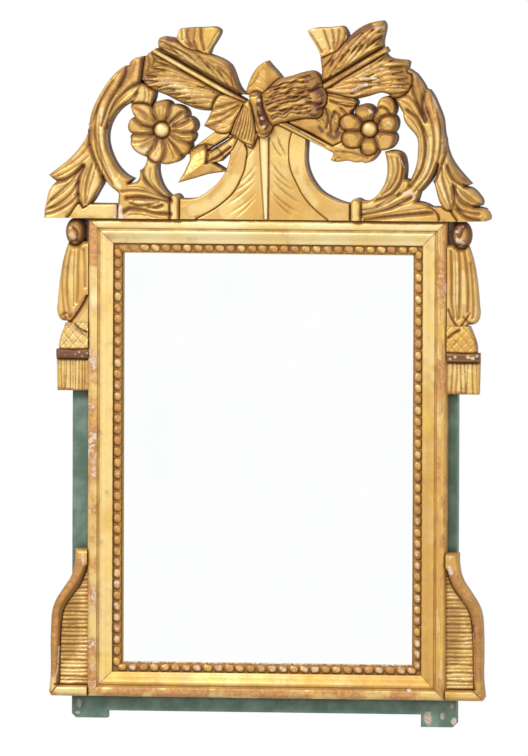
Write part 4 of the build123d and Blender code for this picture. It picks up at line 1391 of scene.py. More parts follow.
def carve_fletching_left():
    vane = Carving("fletching_left", seed=63)
    vane.round_rim(4.0, 6.0)
    vane.wobble(16, 0.7)
    upper = [
        [(236, 97), (236, 86), (231, 73)],
        [(233, 94), (228, 82), (218, 68)],
        [(228, 92), (219, 78), (206, 63)],
        [(221, 88), (209, 73), (196, 60), (188, 54)],
        [(213, 84), (200, 70), (182, 56), (170, 48)],
        [(200, 77), (186, 65), (172, 55), (161, 49)],
        [(205, 68), (192, 56), (176, 45)],
        [(196, 60), (182, 50), (166, 43), (159, 43)],
        [(182, 68), (170, 59), (160, 53)],
    ]
    vane.barbs(upper, 3.4, 2.4, 1.6)
    lower = [
        [(188, 72), (170, 65), (154, 62)],
        [(205, 86), (185, 77), (166, 70), (152, 70)],
        [(200, 84), (178, 77), (158, 76), (146, 77)],
        [(203, 87), (182, 82), (160, 81), (141, 81.5)],
        [(196, 88), (176, 85.5), (158, 86), (146, 88)],
        [(212, 93), (192, 90), (172, 88), (157, 91.5)],
        [(222, 98), (200, 94), (180, 93), (165, 96)],
        [(226, 101), (206, 97), (188, 97), (173, 99)],
        [(228, 104), (210, 102), (194, 102), (181, 103)],
        [(226, 108), (210, 107), (192, 106)],
    ]
    vane.barbs(lower, 3.6, 2.4, 1.6)
    cuts(vane, [[(147, 57), (150, 66), (148, 74)], [(153, 55), (155, 62), (152, 70)]], 2.0, 2.6, dark=0.5)
    vane.cut([(159, 54), (178, 63), (205, 78), (228, 91), (244, 99)], 4.4, 8.5, power=0.8, dark=0.95)
    cuts(vane, [[(162, 66), (178, 70.5), (196, 80), (212, 89), (228, 98)]], 2.2, 2.6, dark=0.45)
    region = [(186, 50), (226, 66), (232, 90), (196, 66)]
    chisel(vane, region, math.radians(-42), 26, 9, 1.3, 0.9, seed=7)
    region = [(150, 66), (222, 98), (215, 104), (165, 92)]
    chisel(vane, region, math.radians(-10), 16, 12, 1.3, 0.8, seed=8)
    vane.facets(9, 0.05)
    paint_marks(
        vane,
        ("worn", 7, 0.55, (147, 60), (152, 68), (148, 76)),
        ("chip", 2.6, 0.42, (150, 57), (153, 66)),
        ("chip", 3.2, 0.5, (160, 43), (164, 46)),
        ("chip", 2.4, 0.45, (183, 48), (194, 53)),
        ("chip", 3.0, 0.42, (205, 61), (213, 67), (222, 78)),
        ("worn", 5, 0.60, (226, 66), (234, 78), (235, 88)),
        ("dark", 4, 0.45, (228, 68), (235, 80), (236, 90)),
        ("dark", 3.5, 0.6, (168, 42), (176, 43)),
        ("tone", 5, 0.9, (160, 91), (176, 88), (186, 90)),
        ("tone", 5, 0.6, (176, 98), (200, 95)),
        ("tone", 5, 0.6, (190, 104), (208, 103)),
        ("tone", 6, 0.6, (165, 49), (185, 60), (205, 72), (222, 86)),
        ("chip", 2.2, 0.5, (143, 81), (160, 81.5), (178, 84)),
        ("dark", 3.0, 0.5, (146, 76.5), (158, 75.5)),
    )
    vane.build(hollows=0.2, ridges=0.2)


def carve_fletching_right():
    vane = Carving("fletching_right", seed=64)
    vane.round_rim(4.0, 6.0)
    vane.wobble(16, 0.8)
    upper = [
        [(323, 79), (326, 70), (332, 60)],
        [(326, 78), (334, 66), (343, 53)],
        [(332, 76), (342, 63), (354, 47)],
        [(338, 72), (349, 60), (362, 42)],
        [(345, 68), (358, 56), (370, 38)],
        [(352, 64), (366, 52), (381, 38)],
        [(360, 59), (372, 50), (383, 45)],
        [(340, 56), (350, 44), (362, 33)],
        [(350, 50), (362, 38), (373, 27)],
        [(358, 46), (370, 36), (384, 24)],
        [(364, 46), (374, 38), (385, 32)],
        [(322, 66), (326, 60), (334, 52)],
    ]
    vane.barbs(upper, 3.4, 2.4, 1.6)
    lower = [
        [(326, 87), (340, 80), (353, 70), (366, 61)],
        [(344, 80), (358, 72), (372, 64), (385, 54)],
        [(352, 80), (368, 71), (384, 62), (392, 59)],
        [(360, 77), (378, 69), (394, 64), (408, 65)],
        [(366, 80), (384, 73), (402, 71)],
        [(334, 87), (348, 82), (362, 79), (377, 79)],
        [(372, 82), (388, 78), (407, 77)],
        [(330, 90), (346, 87), (364, 85), (386, 84)],
        [(372, 88), (390, 83), (408, 83)],
        [(323, 90), (336, 92), (350, 91), (361, 86)],
        [(352, 96), (368, 91), (384, 87), (399, 87)],
        [(368, 94), (384, 91), (400, 90), (410, 90)],
        [(322, 96), (336, 97), (350, 97), (362, 94)],
    ]
    vane.barbs(lower, 3.8, 2.6, 1.6)
    vane.cut([(322, 84.5), (336, 77.5), (350, 68), (366, 57.5), (381, 49)], 3.4, 6.5, power=0.9, dark=0.95)
    at_tips = [[(376, 49), (381, 47), (386, 52), (386, 57)], [(384, 61), (394, 61), (404, 62)]]
    cuts(vane, at_tips, 2.0, 2.4, dark=0.5)
    between_barbs = [[(380, 67.5), (392, 67.5), (406, 68)], [(330, 100), (345, 101), (356, 99)]]
    cuts(vane, between_barbs, 2.2, 2.8, dark=0.6)
    region = [(324, 64), (360, 38), (376, 40), (330, 78)]
    chisel(vane, region, math.radians(45), 22, 9, 1.3, 0.9, seed=11)
    region = [(340, 84), (386, 62), (406, 72), (400, 88), (350, 94)]
    chisel(vane, region, math.radians(12), 20, 11, 1.3, 0.8, seed=12)
    vane.facets(9, 0.05)
    paint_marks(
        vane,
        ("chip", 4.4, 0.60, (373, 29), (383, 28)),
        ("chip", 2.6, 0.45, (374, 35), (384, 33)),
        ("worn", 5, 0.7, (368, 44), (376, 40), (383, 38)),
        ("dark", 5, 0.6, (370, 42), (378, 38), (384, 40)),
        ("dark", 4.5, 0.75, (346, 42), (357, 33), (369, 26)),
        ("worn", 5, 0.5, (345, 45), (357, 36), (369, 29)),
        ("tone", 5, 0.6, (350, 58), (360, 52), (370, 49)),
        ("worn", 6, 0.7, (328, 66), (340, 57)),
        ("chip", 2.6, 0.45, (343, 53), (352, 47), (358, 42)),
        ("worn", 5.5, 0.75, (336, 81), (350, 73), (362, 65)),
        ("chip", 3.0, 0.38, (345, 76), (356, 68), (364, 63)),
        ("chip", 2.6, 0.85, (360, 79.5), (375, 78.5)),
        ("chip", 3.4, 0.75, (354, 91), (360, 87), (366, 85)),
        ("chip", 3.0, 0.55, (326, 89), (342, 91), (354, 91)),
        ("chip", 2.2, 1.0, (380, 69.5), (381.5, 69)),
        ("chip", 2.4, 0.6, (391, 86), (399, 86)),
        ("chip", 2.4, 0.45, (380, 51), (384, 53)),
        ("worn", 7, 0.55, (400, 72), (409, 80)),
        ("worn", 4, 0.6, (386, 60), (402, 62)),
        ("tone", 3.5, 0.6, (385, 65), (405, 66)),
    )
    vane.build(hollows=0.2, ridges=0.2)


def carve_peak():
    peak = Carving("peak", seed=71)
    peak.round_rim(2.5, 3)
    peak.roof([(265, 62), (265.5, 78), (265.5, 100)], 0.22, 25)
    peak.cut([(250, 88), (256, 80), (258, 74)], 1.6, 1.0)
    peak.facets(12, 0.05)
    peak.tone -= 0.40
    paint_marks(
        peak,
        ("tone", 7, 0.5, (259, 80), (254, 92)),
        # Painted shade down the right side of the peak.
        ("dark", 7, 0.30, (268, 64), (268, 92)),
    )
    peak.build()


def carve_ribbon_left():
    ribbon = Carving("ribbon_left", seed=72)
    ribbon.round_rim(2.2, 3)
    cuts(ribbon, [[(188, 28), (187, 38), (191, 50)], [(201, 28), (201, 40), (204, 52)]], 2.6, 3.4, dark=0.6)
    fine = [[(218, 33), (213, 41), (208, 51)], [(181, 30), (182, 42)], [(195, 30), (194, 44), (197, 54)]]
    cuts(ribbon, fine, 1.8, 1.8)
    ribbon.cut([(186, 45), (194, 50), (200, 56)], 3.0, 2.5, dark=0.6)
    ribbon.facets(8, 0.06)
    paint_marks(
        ribbon,
        ("worn", 4, 0.7, (190, 32), (192, 44)),
        ("chip", 2.6, 0.5, (184, 34), (182, 44)),
        ("dark", 3, 0.8, (194, 44), (197, 48)),
    )
    ribbon.build()


def carve_ribbon_right():
    ribbon = Carving("ribbon_right", seed=73)
    ribbon.round_rim(2.2, 3)
    lines = [
        [(309, 34), (315, 43), (321, 53)],
        [(323, 32), (326, 41), (329, 50)],
        [(331, 31), (333, 41), (333, 50)],
        [(338, 31), (337, 42), (334, 52)],
        [(345, 34), (342, 44), (337, 54)],
    ]
    cuts(ribbon, lines, 2.3, 2.4, dark=0.5)
    ribbon.facets(8, 0.06)
    paint_marks(
        ribbon,
        ("worn", 5, 0.6, (335, 48), (340, 42)),
        ("tone", 6, 0.5, (312, 33), (320, 45)),
    )
    ribbon.build()


def carve_bands():
    """The two flat curved bands of the crest's middle."""
    marks_on = {
        "band_left": [
            ("tone", 9, 0.25, (195, 210), (215, 203), (235, 180)),
            ("worn", 3, 0.5, (196, 217), (214, 212), (226, 203)),
        ],
        "band_right": [("tone", 8, 0.2, (297, 150), (300, 180), (315, 203))],
    }
    for seed, (node, marks) in enumerate(marks_on.items(), 81):
        band = Carving(node, pitch=1.0, seed=seed)
        band.round_rim(2.0, 1.8)
        band.wobble(25, 0.5)
        band.facets(20, 0.012)
        if node == "band_left":
            band.cut([(232, 166), (240, 150), (245, 140)], 1.2, 0.4)
        paint_marks(band, *marks)
        band.build(hollows=0.5, soiled=0.04)


def carve_pedestal():
    """The bell-shaped middle with its raised strip and its veins."""
    bell = Carving("pedestal", pitch=0.8, seed=83)
    bell.round_rim(3.0, 3.0)
    raised_strip = [(259.5, 137), (268.3, 137), (268, 219.5), (264.8, 219.5)]
    bell.lower_within(raised_strip, -2.4, 1.0)
    cuts(bell, [[(259, 138), (261.5, 180), (264, 219)]], 1.8, 1.6, dark=0.5)
    cuts(bell, [[(268.8, 138), (268.8, 180), (268.3, 219)]], 1.8, 2.4, dark=0.75)
    right_veins = [
        [(276, 135), (281, 147), (287, 158)],
        [(270.5, 139), (276, 150), (284, 159)],
        [(271, 162), (279, 173), (291, 185)],
        [(271.5, 172), (281, 182), (294, 191)],
        [(271, 190), (280, 200), (299, 213)],
        [(271, 195), (281, 206), (292, 216)],
        [(273, 181), (286, 193), (300, 203)],
    ]
    twice_middle = 527.5
    left_veins = [[(twice_middle - x, y + 2) for x, y in line] for line in right_veins]
    cuts(bell, right_veins, 2.2, 1.5, power=1.4, taper=0.3, dark=0.40)
    cuts(bell, left_veins, 2.2, 1.3, power=1.4, taper=0.3, dark=0.32)
    bell.facets(16, 0.012)
    paint_marks(
        bell,
        ("tone", 4.4, 1.0, (264, 140), (266, 218)),
        ("tone", 12, 0.5, (236, 205), (228, 211)),
        ("tone", 8, 0.3, (250, 150), (246, 180)),
    )
    bell.build(hollows=0.4, soiled=0.05)


def carve_leaf_sprig():
    sprig = Carving("leaf_sprig", pitch=0.7, seed=91)
    sprig.round_rim(3.0, 4.0)
    lines = [
        [(320, 104), (326, 112), (328, 120), (326, 128)],
        [(334, 112), (339, 116), (340, 124), (336, 132)],
        [(334, 113), (330, 122), (331, 132)],
        [(322, 94), (340, 98), (356, 98)],
        [(330, 101), (345, 106), (356, 106)],
        [(341, 108), (346, 116), (343, 124)],
    ]
    cuts(sprig, lines, 2.4, 3.4, dark=0.7)
    upper = [(320, 92), (358, 95), (352, 110), (322, 104)]
    chisel(sprig, upper, math.radians(-8), 14, 12, 1.3, 1.4, seed=15)
    lower = [(322, 105), (345, 108), (340, 134), (312, 126)]
    chisel(sprig, lower, math.radians(-50), 14, 9, 1.2, 1.2, seed=16)
    sprig.facets(8, 0.05)
    sprig.tone -= 0.40
    paint_marks(
        sprig,
        ("dark", 14, 0.40, (322, 112), (330, 124), (340, 128)),
        ("dark", 8, 0.30, (300, 124), (320, 134)),
        ("dark", 5, 1.1, (328, 134), (334, 138), (338, 134)),
        ("worn", 5, 0.5, (332, 128), (338, 136)),
        ("dark", 4, 1.1, (319, 127), (322, 131)),
        ("chip", 2.2, 0.6, (347, 120), (349, 118)),
    )
    sprig.build()


def carve_drape_left():
    drape = Carving("drop_drape_left", pitch=0.8, seed=101, joined=((68, 318), (90, 327)))
    drape.round_rim(6, 8)
    folds = [
        [(66, 250), (62, 268), (61, 290), (63, 310), (65, 320)],
        [(70, 250), (67, 270), (66, 290), (67, 306), (70, 318)],
        [(78, 248), (77, 270), (77, 290), (76, 304)],
        [(83, 252), (84, 270), (84, 288)],
    ]
    cuts(drape, folds, 3.0, 3.0, dark=0.30)
    drape.cut([(74, 250), (73, 272), (73, 292), (73, 308)], 2.2, 1.4)
    drape.step([(86, 296), (81, 306), (76, 314), (70, 322), (66, 325)], 9, 5, power=0.8, dark=0.5)
    paint_marks(
        drape,
        ("worn", 3.6, 0.5, (84, 296), (79, 306), (73, 315), (68, 322)),
        ("dark", 3.6, 0.35, (83, 297), (78, 307), (72, 316)),
    )
    drape.cut([(60, 318), (66, 315), (70, 320)], 2.0, 2.4, dark=0.7)
    paint_marks(
        drape,
        ("worn", 5, 0.7, (70, 322), (62, 320)),
        ("chip", 2.5, 0.40, (84, 290), (78, 305), (72, 314)),
        ("tone", 6, 0.4, (72, 262), (70, 296)),
    )
    carve_knob(drape, (73.8, 233.7), [(72.5, 229), (77, 234), (76, 241)], [(70, 236), (74, 239)])
    # A painted lighter strip along the edge beside the frame, against the shade in the gap there.
    drape.mark("dark", 3.0, -0.8, (88, 250), (88, 292))
    drape.build(soiled=0.05)


def carve_drape_right():
    drape = Carving("drop_drape_right", pitch=0.8, seed=102, joined=((445, 318), (468, 330)))
    drape.round_rim(6, 8)
    folds = [
        [(451, 250), (452, 275), (452, 300), (454, 316)],
        [(459, 248), (460, 270), (460, 295), (459, 316)],
        [(464, 247), (467, 268), (468.5, 290), (468, 310)],
        [(471, 262), (473, 285), (474, 305), (473, 316)],
    ]
    cuts(drape, folds, 3.0, 3.4, dark=0.45)
    drape.cut([(455, 250), (456, 275), (456, 300), (458, 318)], 2.0, 1.2)
    drape.cut([(449, 308), (453, 318), (459, 327)], 2.0, 3.6, dark=0.8)
    drape.cut([(470, 312), (465, 320), (459, 328)], 2.0, 3.4, dark=0.8)
    drape.cut([(464, 315), (468, 320), (473, 324)], 1.8, 2.4, dark=0.6)
    paint_marks(
        drape,
        ("worn", 4.5, 0.8, (458, 325), (466, 326)),
        ("chip", 2.0, 0.5, (458, 326), (461, 322)),
        ("tone", 4, 0.6, (456, 262), (456, 300)),
        ("tone", 3, 0.5, (463, 270), (464, 300)),
    )
    carve_knob(drape, (461.3, 233.7), [(456, 228), (460, 235), (464, 226)], [(458, 238), (463, 241)])
    # A painted lighter strip along the edge beside the frame, against the shade in the gap there.
    drape.mark("dark", 3.0, -0.8, (447.5, 250), (447.5, 305))
    drape.build(soiled=0.10)


def carve_cap(side, inner, outer, seed, band_dark, chips, chipped):
    """The tassel's cap with its crossed cords, and the band under it."""
    cap = Carving("drop_tassel_" + side, pitch=0.8, seed=seed, joined=((50, 315), (490, 328)))
    cap.round_rim(5, 6)
    outwards = 1 if outer > inner else -1
    cord_pitch = 9.6
    cap_top, cap_foot, band_top, band_foot = 322, 352, 351.5, 360
    for index in range(-3, 7):
        for lean in (-1, 1):
            start = (inner + outwards * (index * cord_pitch - lean * 16), cap_top)
            end = (inner + outwards * (index * cord_pitch + lean * 10), cap_foot)
            cap.cut_above([start, end], 1.2, 0.8, band_top)
    cap.cut([(inner, 351), ((inner + outer) / 2, band_top), (outer, 351)], 1.8, 4.0, dark=0.95)
    cap.cut([(inner, 360.5), (outer, band_foot)], 1.8, 3.0, dark=0.9)
    cap.facets(7, 0.05)
    paint_marks(
        cap,
        # A painted lighter strip along the inner edge beside the frame, against the shade in the gap there.
        ("dark", 3.0, -0.8, (inner, 324), (inner, 348)),
        ("dark", 6.0, band_dark, (inner, 355.5), (outer, 355.5)),
        *(("chip", size, chipped, spot) for spot, size in chips),
    )
    return cap


def carve_caps():
    """Both tassel caps, each with its own chips."""
    chips = [((75, 356), 3.2), ((79, 354), 2.4), ((82, 358), 2.6), ((65, 357), 1.8), ((87, 355), 2.4)]
    left = carve_cap("left", 87.5, 55, 103, 1.60, chips, 0.62)
    left.step([(87, 333), (80, 330), (73, 322)], 7, 4.5, power=0.8, dark=0.6)
    left.mark("tone", 7, 0.5, (74, 338), (76, 328))
    left.build(soiled=0.08)
    chips = [((469, 355), 4.2), ((474, 356), 4.0), ((478, 354), 3.0), ((456, 355), 3.4), ((451, 357), 2.8)]
    right = carve_cap("right", 448, 480.5, 105, 1.30, chips, 0.80)
    right.cut([(449, 336), (455, 331), (460, 328.5)], 2.2, 4.0, dark=0.8)
    paint_marks(
        right,
        ("dark", 3.0, 0.5, (476, 334), (478, 346)),
        ("tone", 16, -0.5, (455, 342), (472, 342)),
    )
    right.build(soiled=0.08)


def carve_knob(carving, centre, folds, glint):
    """The gathered knob at the top of a drape, with painted shade towards the rim of its ball and painted
    glints.
    """
    drape_height, ball_height, half_wide, half_high = 21, 24, 11.6, 17.2
    ball = carving.full > drape_height
    px, py = centre
    r = carving.ellipse(centre, half_wide, half_high)
    crown = ball_height * np.sqrt(np.clip(1 - 0.85 * np.clip(r, 0, 1) ** 2.2, 0, 1))
    carving.height = np.where(ball, np.minimum(crown, ball_height - 1), carving.height)
    before = carving.height.copy()
    carving.cut(folds, 2.8, 3.6, dark=0.7)
    carving.cut([(px - 7, py + 12), (px, py + 9), (px + 8, py + 12)], 2.2, 3.0, dark=0.7)
    # Painted shade: the ball darkens towards its rim.
    shade = np.clip(carving.dark + 0.15 + 0.75 * np.clip((r - 0.40) / 0.45, 0, 1), 0, 0.9)
    carving.dark = np.where(ball, shade, carving.dark)
    paint_marks(
        carving,
        ("worn", 12, 0.35, (px - 5, py - 9), (px + 3, py + 6)),
        ("dark", 4.0, 0.50, *folds),
        # Painted highlights: pale glints, in the colour of gesso, on the ball.
        ("chip", 5.2, 0.66, *glint),
        ("chip", 4.6, 0.62, (px - 4, py - 4)),
        ("chip", 3.4, 0.56, (px + 2, py - 9)),
    )
    carving.height = np.where(ball, carving.height, before)


def carve_fringe(side, seed, strands):
    """A skirt of strands that hang a little unevenly."""
    node = "drop_fringe_" + side
    sign = -1 if side == "left" else 1
    low, high = box_of(node)
    edge = half_width + high[0] - low[0]
    ring = [(half_width, low[2]), (edge - 1, low[2]), (edge, high[2]), (half_width, high[2])]
    ring = np.array([(sign * x, z) for x, z in ring])[::sign]
    fringe = Carving(node, pitch=0.7, seed=seed, levels={-low[1]: [ring]})
    fringe.round_rim(3, 4)
    rng = np.random.default_rng(seed)
    x0, x1 = (54, 87) if sign < 0 else (449, 480.5)
    middle = (x0 + x1) / 2
    for index in range(1, strands):
        t = index / strands
        top = x0 + (x1 - x0) * t + rng.normal(0, 0.35)
        foot = top + rng.normal(0, 0.9) - sign * 0.8 * (0.5 - t)
        bow = (top + foot) / 2 + rng.normal(0, 0.3)
        fringe.cut([(top, 360), (bow, 377), (foot, 394)], 1.6, 1.9, dark=0.28)
        fringe.cut([(top + 1.6, 361), (foot + 1.5, 380)], 1.0, 0.5, taper=0.3, dark=0.1)
    fringe.facets(6, 0.05)
    paint_marks(
        fringe,
        ("dark", 2.4, 0.7, (x0, 361.5), (x1, 361.5)),
        ("worn", 4, 0.6, (x0, 391), (middle, 392)),
        ("tone", 12, 0.3, (middle, 366), (middle, 385)),
    )
    fringe.build(soiled=0.10)


# The columns of the photograph between which each bracket's reeds run.
bracket_sides = {"left": (57, 89), "right": (446, 475)}


def carve_reeded_panel(side, sign):
    """The panel inside a bracket's rolled edge, cut across into strong and weak reeds by turns."""
    node = "bracket_panel_" + side
    levels, _ = front_levels(node)
    depth = -box_of(node)[0][1]
    panel = Carving(node, pitch=0.8, seed=111 + sign, levels={depth: [panel_ring(levels)]})
    rng = np.random.default_rng(112 + sign)
    inner, outer = bracket_sides[side]
    foot, top, reed = 688.0, 575, 4.05
    y = foot
    while y > top:
        y -= reed
        ends = [y + rng.normal(0, 0.25), y + rng.normal(0, 0.3), y + rng.normal(0, 0.25)]
        line = list(zip((inner, (inner + outer) / 2, outer), ends))
        strong = int(round((foot - y) / reed)) % 2 == 0
        width, deep, dark = (1.8, 2.0, 0.35) if strong else (1.5, 1.2, 0.15)
        panel.cut(line, width, deep, power=1.1, dark=dark)
    panel.round_rim(1.5, 2.5)
    panel.wobble(5, 0.25)
    panel.facets(7, 0.05)
    middle = 72 if sign < 0 else 456
    paint_marks(
        panel,
        ("dark", 14, 0.42, (middle, 606), (middle, 630), (middle - 2, 655)),
        ("tone", 16, 0.4, (middle + 4, 676), (middle - 4, 684)),
    )
    if sign > 0:
        panel.mark("tone", 8, 0.6, (450, 592), (456, 600))
    panel.build(hollows=0.5)


def carve_rolled_edge(side, seed, mitre, inner, roll, tone, rubbed, dark_on_roll, marks):
    """The rolled edge of a bracket with its mitred foot."""
    border = Carving("bracket_border_" + side, pitch=0.9, seed=seed)
    border.round_rim(6.0, 8.0)
    border.wobble(18, 0.6)
    paint_marks(border, *marks)
    border.tone += tone
    paint_marks(
        # Darker along the roll and along the upper half of the inner edge.
        border,
        ("worn", 8.0, rubbed, *roll),
        ("dark", 5.0, dark_on_roll, *roll),
        ("dark", 6.0, 0.60, *inner[: len(inner) // 2 + 1]),
        ("dark", 6.0, 0.25, *roll[2:4]),
    )
    border.cut(inner, 2.2, 2.6, dark=0.7)
    start, end = bracket_sides[side]
    border.cut([(start - 2, 688), (end, 688)], 1.6, 3.4, dark=0.85)
    border.cut(mitre, 1.2, 1.8, dark=0.9)
    border.facets(14, 0.03)
    border.build(soiled=0.10)


def carve_edge_left():
    mitre = [(51.5, 697), (58.5, 688)]
    inner = [(86, 571), (81, 583), (74, 593), (66, 604), (61, 618), (60, 640), (59, 665), (58, 687)]
    roll = [(80, 566), (72, 585), (60, 600), (55, 620), (54, 650), (54, 676)]
    marks = [
        ("chip", 4.4, 0.55, (83, 555), (84, 566)),
        ("chip", 2.0, 0.6, (56, 682), (58, 672), (59, 650)),
        ("tone", 10, 0.9, (62, 694), (84, 694)),
        ("tone", 7, 0.9, (53, 672), (52, 690)),
        ("chip", 9, 0.36, (62, 694), (84, 694)),
    ]
    carve_rolled_edge("left", 113, mitre, inner, roll, -0.20, 0.70, 0.22, marks)


def carve_edge_right():
    mitre = [(474.5, 688), (483.5, 697)]
    inner = [(448, 573), (454, 586), (461, 597), (468, 609)]
    inner += [(472.5, 622), (473.5, 645), (474, 670), (475, 687)]
    roll = [(454, 572), (462, 588), (472, 602), (478, 622), (479, 650), (479, 676)]
    marks = [
        ("chip", 4.2, 0.95, (451, 566), (453, 571)),
        ("chip", 3.6, 0.50, (453, 553), (450, 560)),
        ("chip", 1.8, 0.85, (474.5, 632), (475, 655), (475.5, 680)),
        ("dark", 3.0, 0.7, (475, 624), (476, 636)),
        ("chip", 1.8, 0.50, (464, 598), (471, 611), (474, 622)),
        ("tone", 9, 0.4, (455, 694), (475, 693)),
    ]
    carve_rolled_edge("right", 115, mitre, inner, roll, -0.35, 0.95, 0.45, marks)


def panel_ring(levels):
    """The outline of the whole reeded panel, from the rings of its reeds."""
    points = np.vstack([ring for rings in levels.values() for ring in rings])
    sign = 1 if points[:, 0].mean() > 0 else -1
    low, high = points[:, 1].min(), points[:, 1].max()
    widest = {}
    for x, z in points:
        key = round(z, 1)
        widest[key] = max(widest.get(key, 0.0), abs(x))
    edge = [(widest[z], z) for z in sorted(widest) if widest[z] > half_width + 0.05]
    kept = [edge[0]]
    for x, z in edge[1:]:
        if z - kept[-1][1] > 1.2:
            kept.append((x, z))
    ring = [(half_width, low)] + kept + [(half_width, high)]
    return np.array([(sign * x, z) for x, z in ring])[::sign]


# Gilt frame


# Distances in from the outer edge of the gilt frame: its parts from the fillet to the sight edge.
fillet_end = 11.5
hollow_start = 14.0
slip_start = 30.0
slip_end = 40.0
lip_start = 39.5


def moulding_section():
    """Points of the moulding from its outer edge inwards: distance in, distance from the chassis."""
    outer_wall = [[0, 0], [0, 5], [0, 10]]
    fillet = [(0.0, 15.0), (0.5, 17.6), (1.6, 19.6), (3.2, 21.2), (5.2, 22.0), (7.6, 22.1)]
    shoulder = [(7.6, 22.1), (9.8, 21.9), (11.3, 21.0), (12.0, 19.9), (12.1, 19.1)]
    quirk = [[12.4, 18.9], [13.7, 18.9]]
    band = [(hollow_start, 19.1), (15.6, 20.4), (18.0, 20.7), (21.5, 18.9)]
    band += [(25.0, 16.6), (28.2, 15.5), (29.9, 14.6)]
    seat = [[slip_start, 14.4], [slip_start, 11.0], [slip_start, 8.1], [33.3, 8.1], [36.6, 8.1]]
    lip = [(slip_end, 8.2), (slip_end, 8.8), (40.6, 9.1), (41.5, 9.1), (42.0, 8.5)]
    under = [[42.0, 5.0], [36.0, 5.0], [36.0, 0.0], [24.0, 0.0], [12.0, 0.0]]
    face = [curve_through(fillet, 3), curve_through(shoulder, 3)[1:], quirk, curve_through(band, 4)]
    return np.vstack([outer_wall, *face, seat, curve_through(lip, 2), under])


def wear_left(wear_and_light, t, z, broad):
    """A pale stretch near row 300 and a pink one near row 244."""
    fillet = t < fillet_end
    wear_and_light["chip"] = np.where(fillet, wear_and_light["chip"] + 0.24 + 0.2 * broad, wear_and_light["chip"])
    pale = np.clip(1 - np.abs(z - height_of(300)) / 40, 0, 1)
    wear_and_light["tone"] = np.where(fillet, wear_and_light["tone"] + 0.8 * pale, wear_and_light["tone"])
    wear_and_light["worn"] = wear_and_light["worn"] - 0.5 * pale * fillet
    pink = np.clip(2.5 - np.abs(z - height_of(244)) / 14, 0, 1)
    wear_and_light["chip"] = np.where(fillet, wear_and_light["chip"] * (1 - pink), wear_and_light["chip"])
    wear_and_light["worn"] = np.where(fillet, np.maximum(wear_and_light["worn"], 0.95 * pink), wear_and_light["worn"])
    wear_and_light["tone"] = np.where(fillet, wear_and_light["tone"] + 0.3 * pink, wear_and_light["tone"])


def wear_bottom(wear_and_light, t, x):
    """Gesso along the lip, an orange stretch near column 405, one large flake beside it, and painted light:
    the fillet paler, the rest darker.
    """
    fillet = t < fillet_end
    wear_and_light["chip"] = np.where(t > lip_start, 0.52, wear_and_light["chip"])
    orange = np.clip(1 - np.abs(x - across(405)) / 38, 0, 1)
    wear_and_light["worn"] = np.where(fillet, wear_and_light["worn"] + 0.5 * orange, wear_and_light["worn"])
    flake = np.clip(1 - np.hypot(x - across(410), (t - 12.5) * 1.4) / 5, 0, 1)
    wear_and_light["chip"] = wear_and_light["chip"] + 1.2 * flake
    wear_and_light["tone"] = np.where(fillet, wear_and_light["tone"] + 0.45, wear_and_light["tone"] - 0.38)


def wear_right(wear_and_light, t, z):
    """Streaks along the fillet, pink near row 305, red near row 385, and painted shade that makes it duller
    further down.
    """
    fillet = t < fillet_end
    streak = smooth_noise(np.column_stack([t * 9, z]), 22, 31)
    lower = np.clip((height_of(330) - z) / 220, 0, 1)
    tone = wear_and_light["tone"] - 0.05 - 0.30 * lower
    wear_and_light["tone"] = np.where(fillet, 0.15 + 0.5 * streak - 0.2 * lower, tone)
    pink = np.clip(1 - np.abs(z - height_of(305)) / 62, 0, 1)
    red = np.clip(1 - np.abs(z - height_of(385)) / 42, 0, 1)
    chip = wear_and_light["chip"] + 0.24 * np.clip(1.6 * pink, 0, 1)
    wear_and_light["chip"] = np.where(fillet, chip, wear_and_light["chip"])
    wear_and_light["worn"] = np.where(fillet, wear_and_light["worn"] + 0.55 * red + 0.30 * streak, wear_and_light["worn"])
    added_darkness = 0.16 + 0.30 * np.clip(streak, -0.4, 1)
    wear_and_light["dark"] = np.where(fillet & (t > 1.2), added_darkness, wear_and_light["dark"])


def light_on_top(wear_and_light, t, broad):
    """Paler than the other sides, as the light falls on it."""
    wear_and_light["tone"] = np.where(t < fillet_end, 0.75 + 0.3 * broad, wear_and_light["tone"] + 0.45)


def moulding_wear_and_light(t, x, z, side):
    """Numbers for rubbing, gesso, dirt, painted shade and tone over the moulding, by distance in and place.
    """
    where = np.column_stack([x, z])
    broad = smooth_noise(where, 60, 7)
    patch = smooth_noise(where, 16, 8)
    small = smooth_noise(where, 5, 9)
    fillet = t < fillet_end
    rubbed = {"top": 0.06, "left": 0.36, "right": 0.42, "bottom": 0.34}[side]
    # Painted shade in the groove beside the fillet and on the seat of the slip; the outer edge is paler,
    # against its shade, and the lip is darker on every side but the top.
    dark = np.where((t > 11.7) & (t < 14.2), 0.25 + 0.2 * patch, 0.0)
    dark = np.where((t > 29.5) & (t < slip_end), 0.45, dark)
    dark = np.where(t < 1.2, -0.5, dark)
    if side != "top":
        dark = np.where(t > lip_start, 0.95, dark)
    wear_and_light = {
        "dark": dark,
        "worn": np.where(fillet, rubbed + 0.28 * broad + 0.20 * patch, 0.04 + 0.10 * patch),
        "chip": np.where(fillet, 0.10 + 0.22 * patch + 0.16 * small, 0.05 * small),
        "tone": np.where(t > hollow_start, 0.30 + 0.2 * broad, 0.1),
    }
    if side == "top":
        light_on_top(wear_and_light, t, broad)
    elif side == "left":
        wear_left(wear_and_light, t, z, broad)
    elif side == "right":
        wear_right(wear_and_light, t, z)
    else:
        wear_bottom(wear_and_light, t, x)
    limits = {"dark": (lowest_dark, 1), "worn": (0, 1), "chip": (0, 1), "tone": (-1, 1)}
    return {key: np.clip(values, *limits[key]) for key, values in wear_and_light.items()}


